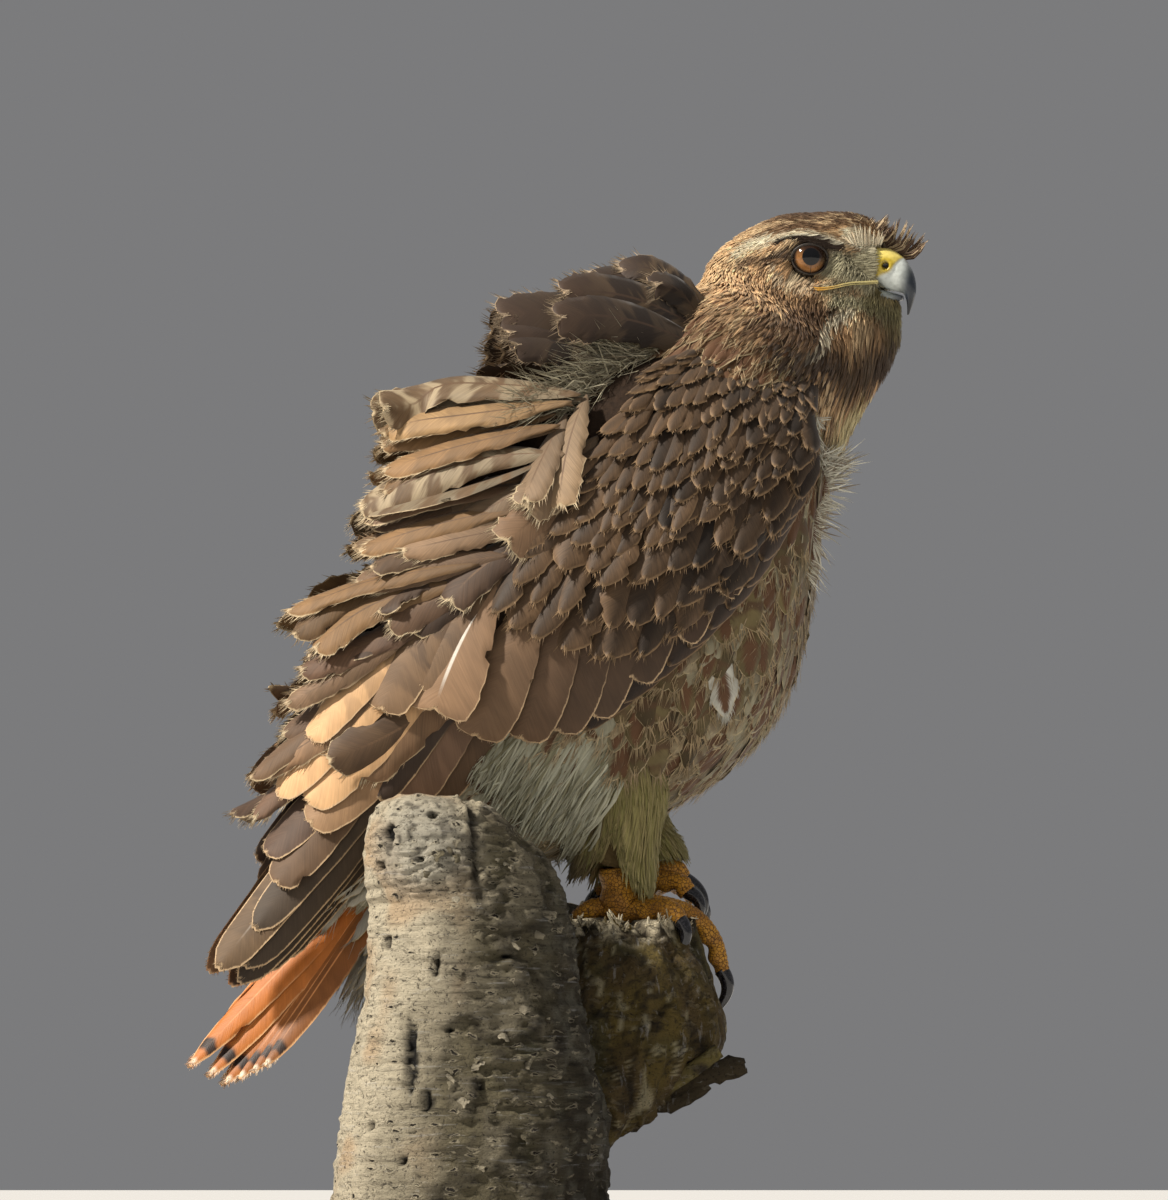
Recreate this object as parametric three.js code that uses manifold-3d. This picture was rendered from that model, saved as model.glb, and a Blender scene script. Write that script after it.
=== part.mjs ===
// A red tailed hawk, life size, standing on the broken stub of a dead trunk that a plain stand holds.
// Millimetres, +Z up. The origin is the centre of the stand's underside, and the bird looks towards +X.

import * as THREE from "three";
import { mergeVertices } from "three/addons/utils/BufferGeometryUtils.js";
import Module from "manifold-3d";

const wasm = await Module();
wasm.setup();

// Driving dimensions

const GAP = 0.3;
const BODY_YAW = THREE.MathUtils.degToRad(10);
const HEAD_YAW = THREE.MathUtils.degToRad(-20);
const BODY_DEPTH = 27.5;
const HEAD_CENTRE = new THREE.Vector3(148.3, 43.6, 472.6);

const BODY_SIDES = 22;
const TOE_SIDES = 6;
const TOE_STEPS = 5;
const PERCH_SIDES = 18;

const EYE_RADIUS = 9;
const EYE_PLACE = [-3.4, -0.5, 13.6];
const EYE_TURN = THREE.MathUtils.degToRad(65);
const SOCKET_REACH = 16;
const SOCKET_RADIUS = 13.3;
const LID_REACH = 5;
const LID_RADIUS = 7.7;
const LID_THICKNESS = 1.1;

const BILL_SIDES = 12;
const NOSTRIL_PLACE = [30.2, -4.6, 7.6];
const NOSTRIL_RADIUS = 1.8;
const GAPE_RADIUS = 0.9;

const VANE_THICKNESS = 0.9;
const LONG_PLAN = [0.45, 0.9, 1, 0.86, 0.36];
const SHORT_PLAN = [0.55, 1, 0.88, 0.4];
const SHEET_DEPTH = 3;
const PLATE_THICKNESS = 11;
const MIDDLE_CLEARANCE = 2.5;
const WING_CLEARANCE = 1;
const PLATE_STATIONS = 8;
const SEED = 20;

const BASE_SIZE = [260, 200, 18];
const BASE_CORNER = 16;
const ROD_RADIUS = 5;
const ROD_SPACING = 60;
const TRUNK_BOTTOM = 38;
const TRUNK_PLACE = [-14, -45];

// Sections of the body from the tail to the neck. A point is [along, up] in the body's middle plane.
const BODY_SECTIONS = [
  { back: [-70, 190], belly: [-60, 174], half: 7 },
  { back: [-58.7, 206.7], belly: [-43.7, 187.9], half: 12 },
  { back: [-46.1, 237.6], belly: [-9.4, 192.7], half: 26 },
  { back: [-27.8, 274.1], belly: [36.5, 202.1], half: 42 },
  { back: [-9.5, 315.3], belly: [92, 229.9], half: 56 },
  { back: [8.8, 356.6], belly: [127, 264.6], half: 63 },
  { back: [29.6, 393.7], belly: [141.6, 310.7], half: 66 },
  { back: [55.1, 426.3], belly: [148.3, 354.5], half: 61 },
  { back: [77.4, 449], belly: [155.9, 384.6], half: 51 },
  { back: [92.4, 461.8], belly: [168.2, 407.9], half: 42 },
];

// Sections of the head, which fan forward round the throat. A point is [forward, up, right] from the
// head's centre, turn says how far the section has turned from the body's heading to the head's, and
// pinch by how much its front half narrows.
const HEAD_SECTIONS = [
  { back: [-52, 1, 11], front: [26, -49, -10], half: 29.5, turn: 0.4, pinch: 0 },
  { back: [-41, 12, 6], front: [33.9, -35.4, -3], half: 20.5, turn: 0.8, pinch: 0.2 },
  { back: [-21.6, 21, 3], front: [35.4, -20, 0], half: 16.6, turn: 1, pinch: 0.45 },
  { back: [-4, 22.6, 0], front: [28, -13, 0], half: 13.9, turn: 1, pinch: 0.4 },
  { back: [12, 22, 0], front: [26.5, -7, 0], half: 11.6, turn: 1, pinch: 0.3 },
  { back: [22, 20, 0], front: [26, -2, 0], half: 9.2, turn: 1, pinch: 0.2 },
  { back: [27.5, 15, 0], front: [27, 3, 0], half: 6, turn: 1, pinch: 0.1 },
];

// Stations of a folded wing from the wrist to the tip: the upper and lower edge as [along, up], and
// how far out the sheet stands at its upper edge, middle and lower edge.
const WING_STATIONS = [
  { top: [133, 407], low: [135.5, 385], out: [44, 50, 47] },
  { top: [127.3, 417.9], low: [132.9, 371.4], out: [45, 60, 55] },
  { top: [100.7, 433.8], low: [122.1, 325.8], out: [40, 72, 58] },
  { top: [68.1, 436.7], low: [101, 293.8], out: [30, 78, 60] },
  { top: [38, 428.4], low: [76.3, 271.2], out: [18, 78, 58] },
  { top: [6.8, 405.6], low: [45.2, 248.7], out: [12, 72, 54] },
  { top: [-24.7, 368.9], low: [10, 233], out: [9, 62, 48] },
  { top: [-51.7, 327.7], low: [-20.7, 225.5], out: [8, 50, 38] },
  { top: [-74.4, 282.1], low: [-46.8, 211], out: [8, 40, 31] },
  { top: [-92.7, 241.1], low: [-64.2, 192.8], out: [9, 34, 28] },
  { top: [-115.6, 195.7], low: [-90.4, 166], out: [12, 28, 27] },
  { top: [-131.7, 159.7], low: [-116.6, 139.5], out: [16, 22, 22] },
];

// Feathers of a wing, from the innermost tier out. Roots and tips run along lines of [along, up]
// points, and lift is how far the root and the tip stand from the wing's sheet.
const WING_TRACTS = [
  { name: "primaries", count: 6, width: 19, lift: [-9, -4], sweep: 3, plan: LONG_PLAN, tilt: 14,
    roots: [[-42, 306], [-22, 272], [-2, 248]],
    tips: [[-86, 193], [-102, 172], [-113, 155], [-124, 146], [-132, 154]] },
  { name: "secondaries", count: 8, width: 20, lift: [-7, -1], sweep: 2, plan: LONG_PLAN, tilt: 12,
    roots: [[-32, 300], [10, 284], [56, 300]],
    tips: [[-80, 217], [-60, 226], [-38, 225], [-16, 225], [3, 230], [21, 239]] },
  { name: "tertials", count: 3, width: 25, lift: [-3, 2], sweep: 4, plan: LONG_PLAN, tilt: 12,
    roots: [[-30, 338], [-10, 314]],
    tips: [[-107, 187], [-97, 206], [-86, 213]] },
  { name: "greater coverts", count: 8, width: 20, lift: [-7, 2], sweep: 0, plan: SHORT_PLAN, tilt: 13,
    roots: [[0, 322], [50, 326], [104, 348]],
    tips: [[-34, 262], [-17, 251], [4, 252], [24, 258], [45, 273], [66, 291], [84, 310]] },
  { name: "median coverts", count: 7, width: 20, lift: [-7, 3], sweep: 0, plan: SHORT_PLAN, tilt: 10,
    roots: [[4, 346], [56, 350], [112, 382]],
    tips: [[-28, 304], [-4, 297], [22, 286], [52, 291], [78, 311], [99, 338], [115, 370]] },
  { name: "lesser coverts", count: 6, width: 21, lift: [-7, 3.4], sweep: 0, plan: SHORT_PLAN, tilt: 10,
    roots: [[24, 380], [72, 386], [112, 406]],
    tips: [[-4, 340], [28, 326], [60, 327], [86, 344], [106, 371], [119, 396]] },
  { name: "shoulder coverts", count: 4, width: 22, lift: [-7, 3.8], sweep: 0, plan: SHORT_PLAN, tilt: 10,
    roots: [[54, 406], [92, 420], [118, 420]],
    tips: [[24, 366], [58, 358], [90, 376], [115, 402]] },
];

// The long scapulars, which the wind lifts off the back: root, tip, width and how far the tip stands.
const SCAPULARS = [
  { root: [-14, 338], tip: [-99, 227], width: 26, stand: 6 },
  { root: [-22, 350], tip: [-101, 248], width: 22, stand: 6 },
  { root: [-4, 362], tip: [-83, 292], width: 20, stand: 7 },
  { root: [4, 380], tip: [-85, 310], width: 12, stand: 8 },
  { root: [30, 370], tip: [-42, 322], width: 28, stand: 5 },
  { root: [20, 392], tip: [-64, 352], width: 24, stand: 8 },
  { root: [44, 398], tip: [-30, 346], width: 27, stand: 5 },
  { root: [44, 412], tip: [-45, 374], width: 24, stand: 8 },
  { root: [56, 420], tip: [-43, 402], width: 24, stand: 10 },
];

// The mantle feathers that the wind stands up behind the neck: root and tip as [along, up, right], the
// width, and how far the face leans from the top towards the side.
const MANTLE = [
  { root: [86, 436, 0], tip: [10, 452, -2], width: 28, lean: 0 },
  { root: [88, 440, 12], tip: [34, 460, 13], width: 26, lean: 25 },
  { root: [88, 440, -12], tip: [30, 458, -15], width: 26, lean: -25 },
  { root: [98, 430, 32], tip: [54, 465, 22], width: 22, lean: 55 },
  { root: [84, 426, 30], tip: [26, 453, 30], width: 27, lean: 58 },
  { root: [68, 420, 25], tip: [-1, 442, 33], width: 28, lean: 55 },
  { root: [96, 430, -32], tip: [50, 460, -24], width: 22, lean: -55 },
  { root: [82, 426, -30], tip: [20, 450, -31], width: 27, lean: -58 },
  { root: [68, 420, -25], tip: [4, 438, -33], width: 28, lean: -55 },
];
const MANTLE_RISE = 7;

// Solids

function solidOf(geometry) {
  const bare = geometry.clone();
  bare.deleteAttribute("normal");
  bare.deleteAttribute("uv");
  const merged = mergeVertices(bare, 1e-4);
  return new wasm.Manifold(new wasm.Mesh({
    numProp: 3,
    vertProperties: merged.attributes.position.array,
    triVerts: Uint32Array.from(merged.index.array),
  }));
}

function geometryOf(solid) {
  const mesh = solid.getMesh();
  const geometry = new THREE.BufferGeometry();
  geometry.setAttribute("position", new THREE.BufferAttribute(mesh.vertProperties, 3));
  geometry.setIndex(new THREE.BufferAttribute(mesh.triVerts, 1));
  geometry.computeVertexNormals();
  return geometry;
}

function volumeOf(points, faces) {
  let sum = 0;
  const cross = new THREE.Vector3();
  for (const [a, b, c] of faces) sum += cross.crossVectors(points[a], points[b]).dot(points[c]);
  return sum / 6;
}

function closedSolid(points, faces) {
  const flip = volumeOf(points, faces) < 0;
  const geometry = new THREE.BufferGeometry();
  geometry.setFromPoints(points);
  geometry.setIndex(faces.flatMap(([a, b, c]) => (flip ? [a, c, b] : [a, b, c])));
  return solidOf(geometry);
}

// Joins rings of equally many points, and closes both ends round their middle.
function loft(rings) {
  const count = rings[0].length;
  const points = rings.flat();
  const faces = [];
  for (let i = 0; i + 1 < rings.length; i++) {
    for (let j = 0; j < count; j++) {
      const next = (j + 1) % count;
      const [a, b] = [i * count + j, i * count + next];
      faces.push([a, b, b + count], [a, b + count, a + count]);
    }
  }
  for (const [end, reverse] of [[0, true], [rings.length - 1, false]]) {
    const middle = points.length;
    points.push(rings[end].reduce((sum, p) => sum.add(p), new THREE.Vector3()).divideScalar(count));
    for (let j = 0; j < count; j++) {
      const [a, b] = [end * count + j, end * count + ((j + 1) % count)];
      faces.push(reverse ? [middle, b, a] : [middle, a, b]);
    }
  }
  return closedSolid(points, faces);
}

function largestPart(solid) {
  const parts = solid.decompose();
  return parts.reduce((best, part) => (part.volume() > best.volume() ? part : best));
}

function joined(solids) {
  return wasm.Manifold.union(solids);
}

// Keeps what lies on the side of a plane that its normal points to, from half a gap on.
function beyond(solid, point, normal) {
  return solid.trimByPlane(normal.toArray(), normal.dot(point) + GAP / 2);
}

// Places

function bodyPoint(along, up, right) {
  const [sin, cos] = [Math.sin(BODY_YAW), Math.cos(BODY_YAW)];
  return new THREE.Vector3(along * cos + right * sin, BODY_DEPTH + along * sin - right * cos, up);
}

function headPoint(forward, up, right) {
  const [sin, cos] = [Math.sin(HEAD_YAW), Math.cos(HEAD_YAW)];
  const offset = new THREE.Vector3(forward * cos + right * sin, forward * sin - right * cos, up);
  return offset.add(HEAD_CENTRE);
}

function rightOf(yaw) {
  return new THREE.Vector3(Math.sin(yaw), -Math.cos(yaw), 0);
}

// A direction in the body's middle plane, turned some degrees to the bird's right
function sideways(degrees, plane) {
  const angle = THREE.MathUtils.degToRad(degrees);
  const inPlane = bodyPoint(plane.x, plane.y, 0).sub(bodyPoint(0, 0, 0)).multiplyScalar(Math.cos(angle));
  return inPlane.addScaledVector(rightOf(BODY_YAW), Math.sin(angle));
}

// A round section between its back and front points, whose front half narrows by pinch.
function section(back, front, half, right, grow = 0, pinch = 0) {
  const middle = back.clone().add(front).divideScalar(2);
  const reach = back.clone().sub(middle);
  reach.setLength(reach.length() + grow);
  const wide = right.clone().multiplyScalar(half + grow);
  const ring = [];
  for (let i = 0; i < BODY_SIDES; i++) {
    const angle = (2 * Math.PI * i) / BODY_SIDES;
    const point = middle.clone().addScaledVector(reach, Math.cos(angle));
    const narrowing = 1 - pinch * Math.max(-Math.cos(angle), 0) ** 2;
    ring.push(point.addScaledVector(wide, Math.sin(angle) * narrowing));
  }
  return ring;
}

// The body, neck and head as one form
function bodyForm(grow = 0) {
  const rings = BODY_SECTIONS.map(({ back, belly, half }) =>
    section(bodyPoint(...back, 0), bodyPoint(...belly, 0), half, rightOf(BODY_YAW), grow));
  for (const { back, front, half, turn, pinch } of HEAD_SECTIONS) {
    const right = rightOf(THREE.MathUtils.lerp(BODY_YAW, HEAD_YAW, turn));
    rings.push(section(headPoint(...back), headPoint(...front), half, right, grow, pinch));
  }
  return loft(rings);
}

// Tubes

// A tube along a smooth curve through the points, with a radius at each point.
function tube(points, radii, steps, sides, grow = 0) {
  const curve = new THREE.CatmullRomCurve3(points, false, "centripetal");
  const frames = curve.computeFrenetFrames(steps, false);
  const rings = [];
  for (let i = 0; i <= steps; i++) {
    const at = i / steps;
    const place = at * (radii.length - 1);
    const before = Math.min(Math.floor(place), radii.length - 2);
    const radius = THREE.MathUtils.lerp(radii[before], radii[before + 1], place - before) + grow;
    const centre = curve.getPoint(at);
    const slide = grow * (i === 0 ? -1 : i === steps ? 1 : 0);
    centre.addScaledVector(curve.getTangent(at), slide);
    const ring = [];
    for (let j = 0; j < sides; j++) {
      const angle = (2 * Math.PI * j) / sides;
      const point = centre.clone().addScaledVector(frames.normals[i], radius * Math.cos(angle));
      ring.push(point.addScaledVector(frames.binormals[i], radius * Math.sin(angle)));
    }
    rings.push(ring);
  }
  return loft(rings);
}

function ball(centre, radius, wide = 14, high = 8) {
  const geometry = new THREE.SphereGeometry(radius, wide, high);
  geometry.translate(...centre.toArray());
  return solidOf(geometry);
}

// Feathers

let randomState = SEED;

// A repeatable random number from 0 to 1
function random() {
  randomState = (randomState * 1664525 + 1013904223) % 4294967296;
  return randomState / 4294967296;
}

function spread(amount) {
  return amount * (2 * random() - 1);
}

// Closes rings whose first half is a vane's upper face and second half its lower face, with both
// faces split into triangles alike.
function vaneSolid(rings) {
  const count = rings[0].length;
  const half = count / 2;
  const faces = [];
  for (let i = 0; i + 1 < rings.length; i++) {
    for (let j = 0; j < count; j++) {
      const next = (j + 1) % count;
      const [a, b, c, d] = [i * count + j, i * count + next, (i + 1) * count + next, (i + 1) * count + j];
      if (j < half) faces.push([a, b, c], [a, c, d]);
      else faces.push([a, b, d], [b, c, d]);
    }
  }
  const last = (rings.length - 1) * count;
  for (let j = 0; j + 1 < half; j++) {
    const [a, b, c, d] = [j, j + 1, count - 2 - j, count - 1 - j];
    faces.push([b, a, c], [a, d, c]);
    faces.push([last + a, last + b, last + c], [last + a, last + c, last + d]);
  }
  return closedSolid(rings.flat(), faces);
}

// A vane along a spine with an outward direction at each point. hand is 1 or -1, and the edge on that
// side of the spine tilts inwards, under its neighbour.
function vane({ spine, outs, width, hand, plan, tilt = 0, grow = 0 }) {
  const lean = THREE.MathUtils.degToRad(tilt);
  const rings = spine.map((point, k) => {
    const [before, after] = [spine[Math.max(k - 1, 0)], spine[Math.min(k + 1, spine.length - 1)]];
    const ahead = after.clone().sub(before).normalize();
    const across = new THREE.Vector3().crossVectors(ahead, outs[k]).normalize().multiplyScalar(hand);
    const out = new THREE.Vector3().crossVectors(across, ahead).normalize().multiplyScalar(hand);
    const side = across.clone().multiplyScalar(Math.cos(lean)).addScaledVector(out, -Math.sin(lean));
    const reach = (width / 2) * plan[k] + grow;
    const slide = grow * (k === 0 ? -1 : k === spine.length - 1 ? 1 : 0);
    const thickness = out.multiplyScalar(VANE_THICKNESS / 2 + grow);
    const centre = point.clone().addScaledVector(ahead, slide);
    const edges = [-reach, reach].map((at) => centre.clone().addScaledVector(side, at));
    const upper = edges.map((edge) => edge.clone().add(thickness));
    const lower = edges.map((edge) => edge.clone().sub(thickness)).reverse();
    return [...upper, ...lower];
  });
  return vaneSolid(rings);
}

function lerpPair(a, b, f) {
  return [THREE.MathUtils.lerp(a[0], b[0], f), THREE.MathUtils.lerp(a[1], b[1], f)];
}

// A point part of the way along a line of [along, up] points
function onLine(points, f) {
  const place = f * (points.length - 1);
  const before = Math.min(Math.floor(place), points.length - 2);
  return lerpPair(points[before], points[before + 1], place - before);
}

// How far along the line from a to b a point lies, as a fraction
function fractionAlong(a, b, point) {
  const [x, y] = [b[0] - a[0], b[1] - a[1]];
  return ((point[0] - a[0]) * x + (point[1] - a[1]) * y) / (x * x + y * y);
}

// How far out a folded wing's sheet stands at a place in the side view
function wingStand(place) {
  let nearest = { distance: Infinity };
  for (let i = 0; i + 1 < WING_STATIONS.length; i++) {
    const [one, next] = [WING_STATIONS[i], WING_STATIONS[i + 1]];
    const [a, b] = [lerpPair(one.top, one.low, 0.5), lerpPair(next.top, next.low, 0.5)];
    const f = THREE.MathUtils.clamp(fractionAlong(a, b, place), 0, 1);
    const [x, y] = lerpPair(a, b, f);
    const distance = Math.hypot(place[0] - x, place[1] - y);
    if (distance < nearest.distance) nearest = { distance, one, next, f };
  }
  const { one, next, f } = nearest;
  const top = lerpPair(one.top, next.top, f);
  const low = lerpPair(one.low, next.low, f);
  const across = THREE.MathUtils.clamp(fractionAlong(top, low, place), -0.05, 1.05);
  const out = one.out.map((value, k) => THREE.MathUtils.lerp(value, next.out[k], f));
  return sheetStand(out, across);
}

// A point on a wing's sheet and the direction out of it
function wingPlace([along, up], side) {
  const step = 4;
  const point = (x, y) => bodyPoint(x, y, side * wingStand([x, y]));
  const alongEdge = point(along + step, up).sub(point(along - step, up));
  const upEdge = point(along, up + step).sub(point(along, up - step));
  const out = new THREE.Vector3().crossVectors(upEdge, alongEdge).normalize().multiplyScalar(-side);
  return { point: point(along, up), out };
}

// The spine of a vane on a wing, with its middle swept upwards
function wingSpine(root, tip, lift, sweep, steps, side) {
  const [x, y] = [tip[0] - root[0], tip[1] - root[1]];
  const length = Math.hypot(x, y);
  const spine = [];
  const outs = [];
  for (let k = 0; k <= steps; k++) {
    const f = k / steps;
    const bend = (4 * sweep * f * (1 - f)) / length;
    const place = [root[0] + x * f + y * bend, root[1] + y * f - x * bend];
    const { point, out } = wingPlace(place, side);
    spine.push(point.addScaledVector(out, THREE.MathUtils.lerp(lift[0], lift[1], f)));
    outs.push(out);
  }
  return { spine, outs };
}

function tractVanes({ count, width, lift, sweep, plan, tilt, roots, tips }, side) {
  const vanes = [];
  for (let i = 0; i < count; i++) {
    const f = i / (count - 1);
    const tip = onLine(tips, f).map((value) => value + spread(1.5));
    const { spine, outs } = wingSpine(onLine(roots, f), tip, lift, sweep, plan.length - 1, side);
    vanes.push(vane({ spine, outs, width: width + spread(1), hand: side, plan, tilt }));
  }
  return vanes;
}

function scapularVanes(side) {
  return SCAPULARS.map(({ root, tip, width, stand }) => {
    const { spine, outs } = wingSpine(root, tip, [-5, stand], 3, LONG_PLAN.length - 1, side);
    return vane({ spine, outs, width, hand: side, plan: LONG_PLAN, tilt: 4 });
  });
}

// The raised mantle feathers, which leave the back and level off towards the tail
function mantleVanes(grow = 0) {
  return MANTLE.map(({ root, tip, width, lean }) => {
    const [start, end] = [bodyPoint(...root), bodyPoint(...tip)];
    const bend = start.clone().lerp(end, 0.5);
    bend.z = Math.max(start.z, end.z) + MANTLE_RISE;
    const curve = new THREE.QuadraticBezierCurve3(start, bend, end);
    const out = sideways(lean, new THREE.Vector2(0, 1));
    const spine = curve.getPoints(LONG_PLAN.length - 1);
    return vane({ spine, outs: spine.map(() => out), width, hand: 1, plan: LONG_PLAN, grow });
  });
}

// Head pieces

const NECK_PLANE = { point: bodyPoint(132, 436, 0), normal: new THREE.Vector3(0.5, 0, 0.87).normalize() };
const HEAD_PLANE = { point: headPoint(-6, -21, 0), normal: new THREE.Vector3(0.55, -0.1, 0.83).normalize() };

function eyeCentre(side) {
  const [forward, up, right] = EYE_PLACE;
  return headPoint(forward, up, side * right);
}

function eyeAxis(side) {
  const [ahead, outwards] = [Math.cos(EYE_TURN), Math.sin(EYE_TURN)];
  return headPoint(ahead, 0, side * outwards).sub(HEAD_CENTRE);
}

// The rim of skin round an eye
function lidForm(side) {
  const geometry = new THREE.TorusGeometry(LID_RADIUS, LID_THICKNESS, 5, 14);
  const turn = new THREE.Quaternion().setFromUnitVectors(new THREE.Vector3(0, 0, 1), eyeAxis(side));
  geometry.applyQuaternion(turn);
  geometry.translate(...eyeCentre(side).addScaledVector(eyeAxis(side), LID_REACH).toArray());
  return solidOf(geometry);
}

// The ridge that shades an eye, from behind it to the lores
function browForm(side) {
  const path = [[-15, 8, 18.5], [-7, 10.5, 18.5], [2, 9.5, 16.5], [12, 5.5, 13]];
  return tube(path.map(([u, w, t]) => headPoint(u, w, side * t)), [3, 3.4, 3, 2], 4, 6);
}

// The groove of the mouth's line, from under the eye to the bill
function gapeForm(side) {
  const path = [[3, -15, 20.8], [14, -14.1, 17.1], [25, -12.8, 11.1]];
  return tube(path.map(([u, w, t]) => headPoint(u, w, side * t)), [GAPE_RADIUS, GAPE_RADIUS], 3, 4);
}

// The forehead feathers that the wind lifts over the bill: root and tip as [forward, up, right]
const TUFT = [
  { root: [17, 17, -4], tip: [42, 8, -9], width: 9 },
  { root: [18, 17, 0], tip: [38, 11, -3], width: 8 },
  { root: [15, 18, -7], tip: [36, 15, -13], width: 8 },
];

function tuftVanes() {
  return TUFT.map(({ root, tip, width }) => {
    const out = new THREE.Vector3(0.3, 0, 0.95);
    return straightVane(headPoint(...root), headPoint(...tip), out, { width, hand: 1 });
  });
}

function headForm() {
  const skull = beyond(bodyForm(), HEAD_PLANE.point, HEAD_PLANE.normal);
  const dishes = [1, -1].map((side) =>
    ball(eyeCentre(side).addScaledVector(eyeAxis(side), SOCKET_REACH), SOCKET_RADIUS));
  const rims = [1, -1].flatMap((side) => [lidForm(side), browForm(side)]);
  const sockets = [1, -1].flatMap((side) => [ball(eyeCentre(side), EYE_RADIUS + GAP), gapeForm(side)]);
  return joined([skull.subtract(joined(dishes)), ...rims, ...tuftVanes()]).subtract(joined(sockets));
}

// The upper bill and cere, as sections from the face to the tip: top and bottom as [forward, up].
const UPPER_BILL = [
  { top: [20, 5], low: [20, -12], half: 9.5 },
  { top: [27, 5], low: [25.5, -12.2], half: 8.6 },
  { top: [32, 4], low: [29.5, -14], half: 7.4 },
  { top: [37.4, 0.3], low: [32.5, -15], half: 6 },
  { top: [41, -4.5], low: [35.5, -15.8], half: 5 },
  { top: [43, -10], low: [38, -17], half: 4 },
  { top: [43.4, -15.5], low: [39, -19.5], half: 2.9 },
  { top: [42.2, -20.5], low: [39.4, -22.2], half: 1.8 },
  { top: [40.2, -26.3], low: [39.4, -26.5], half: 0.5 },
];

const LOWER_BILL = [
  { top: [14, -15.5], low: [14, -21], half: 8.4 },
  { top: [22, -14], low: [22, -20.6], half: 7.2 },
  { top: [28, -14.6], low: [28, -20.4], half: 5.6 },
  { top: [33, -16], low: [33, -20.2], half: 4.2 },
  { top: [37.2, -17.4], low: [37, -19.6], half: 2.2 },
];

function billRing({ top, low, half }, sides, grow) {
  const back = headPoint(...top, 0);
  const front = headPoint(...low, 0);
  const middle = back.clone().add(front).divideScalar(2);
  const reach = back.clone().sub(middle);
  reach.setLength(reach.length() + grow);
  const wide = rightOf(HEAD_YAW).multiplyScalar(half + grow);
  const ring = [];
  for (let i = 0; i < sides; i++) {
    const angle = (2 * Math.PI * i) / sides;
    const point = middle.clone().addScaledVector(reach, Math.cos(angle));
    ring.push(point.addScaledVector(wide, Math.sin(angle)));
  }
  return ring;
}

function billForm(sections, grow = 0) {
  return loft(sections.map((one) => billRing(one, BILL_SIDES, grow)));
}

function nostrilForm(side) {
  const [forward, up, right] = NOSTRIL_PLACE;
  return ball(headPoint(forward, up, side * right), NOSTRIL_RADIUS, 8, 6);
}

// Wing

function wingRing({ top, low, out }, side) {
  const across = [0.06, 0.28, 0.5, 0.69, 0.85];
  const outer = [];
  const inner = [];
  for (const b of across) {
    const along = THREE.MathUtils.lerp(top[0], low[0], b);
    const up = THREE.MathUtils.lerp(top[1], low[1], b);
    const stand = sheetStand(out, b) - SHEET_DEPTH;
    outer.push(bodyPoint(along, up, side * stand));
    inner.unshift(bodyPoint(along, up, side * Math.max(stand - PLATE_THICKNESS, MIDDLE_CLEARANCE)));
  }
  return [...outer, ...inner];
}

// How far out the sheet stands at a place across it, through its top, middle and low values.
function sheetStand([top, middle, low], b) {
  return 2 * top * (b - 0.5) * (b - 1) - 4 * middle * b * (b - 1) + 2 * low * b * (b - 0.5);
}

function wingForm(side) {
  const plate = loft(WING_STATIONS.slice(0, PLATE_STATIONS).map((one) => wingRing(one, side)));
  const vanes = WING_TRACTS.flatMap((tract) => tractVanes(tract, side));
  const wing = joined([plate, ...vanes, ...scapularVanes(side)]);
  return beyond(wing, bodyPoint(0, 0, 0), rightOf(BODY_YAW).multiplyScalar(side));
}

// Tail

const TAIL_CORE = [
  { top: [-42, 222], low: [-22, 204], half: 12 },
  { top: [-60, 203], low: [-42, 186], half: 14 },
  { top: [-72, 190], low: [-58, 174], half: 13 },
  { top: [-82, 176], low: [-74, 162], half: 9 },
];
const TAIL_ROOT = [-50, 200];
const TAIL_TIPS = [[-140, 101], [-132, 97], [-123, 99], [-112, 105], [-102, 112], [-91, 124]];
const TAIL_WIDTH = 20;
const TAIL_MIDDLE = [3, 6.5];
const TAIL_SPACING = [1.3, 3.4];
const TAIL_DROP = 2.2;
const TAIL_SLOPE = 50;
// Short coverts over and under the tail: where they leave it, and for each how far right, and the tip
const TAIL_COVERTS = [
  { root: [-54, 198], tips: [[-14, -84, 182], [0, -96, 172], [14, -82, 180]] },
  { root: [-44, 192], tips: [[-14, -50, 150], [0, -62, 142], [14, -48, 152]] },
];
const COVERT_WIDTH = 18;
const COVERT_ROOT_SHARE = 0.6;

// The direction out of the tail's upper face
const TAIL_OUT = new THREE.Vector2(-0.733, 0.68);

function tailPlace([along, up], right, drop) {
  return bodyPoint(along - TAIL_OUT.x * drop, up - TAIL_OUT.y * drop, right);
}

function straightVane(root, tip, out, options) {
  const spine = SHORT_PLAN.map((_, k) => root.clone().lerp(tip, k / (SHORT_PLAN.length - 1)));
  return vane({ spine, outs: spine.map(() => out), plan: SHORT_PLAN, ...options });
}

function tailForm() {
  const core = loft(TAIL_CORE.map(({ top, low, half }) =>
    section(bodyPoint(...top, 0), bodyPoint(...low, 0), half, rightOf(BODY_YAW))));
  const vanes = [];
  for (const hand of [1, -1]) {
    const out = sideways(hand * TAIL_SLOPE, TAIL_OUT);
    TAIL_TIPS.forEach((tip, i) => {
      const drop = TAIL_DROP * (i + (hand > 0 ? 0 : 0.5)) - 2;
      const root = tailPlace(TAIL_ROOT, hand * (TAIL_MIDDLE[0] + TAIL_SPACING[0] * i), drop + 2);
      const end = tailPlace(tip, hand * (TAIL_MIDDLE[1] + TAIL_SPACING[1] * i), drop);
      vanes.push(straightVane(root, end, out, { width: TAIL_WIDTH, hand }));
    });
  }
  const up = sideways(0, TAIL_OUT);
  for (const { root, tips } of TAIL_COVERTS) {
    for (const [right, ...tip] of tips) {
      const start = bodyPoint(...root, right * COVERT_ROOT_SHARE);
      vanes.push(straightVane(start, bodyPoint(...tip, right), up, { width: COVERT_WIDTH, hand: 1 }));
    }
  }
  return joined([core, ...vanes]);
}

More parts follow.
